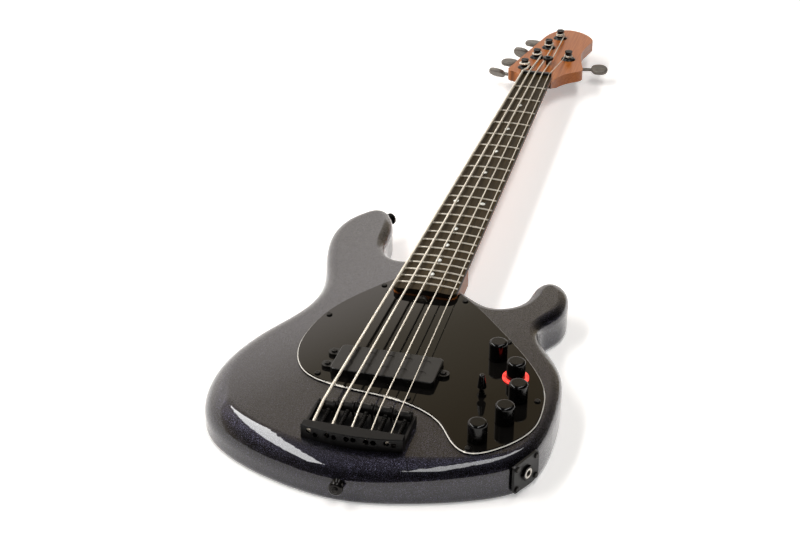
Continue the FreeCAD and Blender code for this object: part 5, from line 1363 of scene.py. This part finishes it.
@dataclass
class JackAndBattery(SubAssembly):
    """The output jack in the edge and the battery box in the back."""

    finishes: ClassVar[dict[str, Finish]] = {
        "jack_plate": JACK_ABS,
        "jack_socket": JACK_METAL,
        "battery_box": BOX_ABS,
        "battery_lid": BOX_ABS,
        "batteries": BATTERY,
    }


@dataclass(frozen=True)
class SoftBox:
    """A rectangular studio lamp that faces the saddles.

    Attributes:
        name: Name of the lamp.
        place: Where it hangs, in metres from the floor under the saddles.
        size: Width and height, in metres.
        power: Light that it gives, in watts.
    """

    name: str
    place: tuple[float, float, float]
    size: tuple[float, float]
    power: float

    def hang(self) -> None:
        """Put the lamp in the scene."""
        lamp = bpy.data.lights.new(self.name, "AREA")
        lamp.shape = "RECTANGLE"
        lamp.size, lamp.size_y = self.size
        lamp.energy = self.power
        holder = bpy.data.objects.new(self.name, lamp)
        holder.location = self.place
        holder.rotation_euler = (-Vector(self.place)).to_track_quat("-Z", "Y").to_euler()
        bpy.context.scene.collection.objects.link(holder)
        LOG.info("lamp %s: %.0f W", self.name, self.power)


@dataclass
class Studio:
    """Pale floor, soft light and the camera.

    Attributes:
        eye: Where the camera stands, in metres.
        target: The point in the middle of the picture, in metres.
        lens: Focal length, in millimetres.
        sensor: Width of the camera's sensor, in millimetres.
        floor_reach: Half the width of the floor, in metres.
        paper: Colour of the floor.
        paper_glow: Glow of the floor where the camera or a gloss sees it.
        bright_way: Direction in which the walls end in their last colour.
        wall_light: How much light a white wall would give.
        walls: Colours of the walls, from the side away from that direction.
        lamps: The lamps.
    """

    eye: tuple[float, float, float] = (0.3386, -1.0980, 0.8412)
    target: tuple[float, float, float] = (-0.0374, 0.2712, 0.052)
    lens: float = 67.0
    sensor: float = 36.0
    floor_reach: float = 9.0
    paper: str = "#f7f4f1"
    paper_glow: float = 0.36
    bright_way: tuple[float, float, float] = (-0.6, 0.65, -0.47)
    wall_light: float = 1.82
    walls: Stops = (
        (0.0, "#0c0b0b"),
        (0.3, "#141312"),
        (0.55, "#45403a"),
        (0.68, "#8a7d66"),
        (0.71, "#aca392"),
        (0.7275, "#fbf4f0"),
        (0.75, "#e2dcd6"),
        (1.0, "#d3cdc7"),
    )
    lamps: tuple[SoftBox, ...] = (
        SoftBox("left_softbox", (-1.06, 0.0, 1.58), (2.6, 0.36), 34.0),
        SoftBox("right_softbox", (0.45, 0.0, 1.75), (2.8, 0.34), 20.0),
    )

    def lay_floor(self, level: float) -> None:
        """Lay the floor.

        Args:
            level: Height that the instrument rests at, in metres.
        """
        reach = self.floor_reach
        mesh = bpy.data.meshes.new("studio_floor")
        corners = [(-reach, -reach), (reach, -reach), (reach, reach), (-reach, reach)]
        mesh.from_pydata([(x, y, level) for x, y in corners], [], [(0, 1, 2, 3)])
        floor = bpy.data.objects.new("studio_floor", mesh)
        bpy.context.scene.collection.objects.link(floor)
        mesh.materials.append(self.floor_paper())
        floor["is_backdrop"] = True

    def floor_paper(self) -> bpy.types.Material:
        """Make seamless white paper, whose matt face gives the eye an even white with a soft shadow.

        Returns:
            The paper's material.
        """
        paper = bpy.data.materials.new("seamless_paper_matt")
        paper.use_nodes = True
        tree = paper.node_tree
        tree.nodes.clear()
        ray = add_node(tree, Kind.LIGHT_PATH).outputs
        matt = add_node(tree, Kind.MATT, {"Color": linear(self.paper), "Roughness": 0.6})
        seen = add_node(
            tree, Kind.MATH, {0: ray["Is Camera Ray"], 1: ray["Is Glossy Ray"]}, operation="MAXIMUM"
        )
        shown = add_node(
            tree, Kind.MATH, {0: seen.outputs[0], 1: ray["Is Transmission Ray"]}, operation="MAXIMUM"
        )
        lift = add_node(tree, Kind.MATH, {0: shown.outputs[0], 1: self.paper_glow}, operation="MULTIPLY")
        glow = add_node(tree, Kind.GLOW, {"Strength": lift.outputs[0]})
        both = add_node(tree, Kind.BOTH, {0: matt.outputs[0], 1: glow.outputs[0]})
        add_node(tree, Kind.SURFACE_OUT, {"Surface": both.outputs[0]})
        return paper

    def fill_light(self) -> None:
        """Surround the scene with walls that are pale low down behind the instrument, and dark elsewhere."""
        world = bpy.data.worlds.new("studio_walls")
        bpy.context.scene.world = world
        world.use_nodes = True
        tree = world.node_tree
        tree.nodes.clear()
        way = add_node(tree, Kind.PLACE).outputs["Generated"]
        back = add_node(tree, Kind.VECTOR, {0: way, 1: self.bright_way}, operation="DOT_PRODUCT")
        share = add_node(
            tree, Kind.RANGE, {"Value": back.outputs["Value"], "From Min": -1.0, "From Max": 1.0}
        )
        wall = add_node(tree, Kind.RAMP, {"Fac": share.outputs["Result"]}, self.walls)
        light = add_node(tree, Kind.WALLS, {"Color": wall.outputs["Color"], "Strength": self.wall_light})
        add_node(tree, Kind.WORLD_OUT, {"Surface": light.outputs[0]})

    def set_camera(self) -> None:
        """Stand the camera where the picture was taken."""
        camera = bpy.data.cameras.new("camera")
        camera.sensor_fit = "HORIZONTAL"
        camera.sensor_width = self.sensor
        camera.lens = self.lens
        stand = bpy.data.objects.new("camera", camera)
        stand.location = self.eye
        stand.rotation_euler = (Vector(self.target) - Vector(self.eye)).to_track_quat("-Z", "Y").to_euler()
        bpy.context.scene.collection.objects.link(stand)
        bpy.context.scene.camera = stand

    def set_up(self, level: float) -> None:
        """Put up the whole studio.

        Args:
            level: Height that the instrument rests at, in metres.
        """
        self.lay_floor(level)
        self.fill_light()
        self.set_camera()
        for lamp in self.lamps:
            lamp.hang()
        bpy.context.scene.view_settings.view_transform = "Standard"


def main() -> None:
    """Build and dress the instrument and put it in the studio."""
    logging.basicConfig(level=logging.INFO, format="%(name)s %(message)s")
    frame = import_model()
    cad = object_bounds()
    groups = (BodyShell, NeckAndBoard, Tuners, GuardAndPickup, Controls, BridgeAndStrings, JackAndBattery)
    for group in groups:
        assembly = group(frame)
        assembly.build()
        assembly.dress()
    Studio().set_up(cad[0].z)


if __name__ == "__main__":
    main()
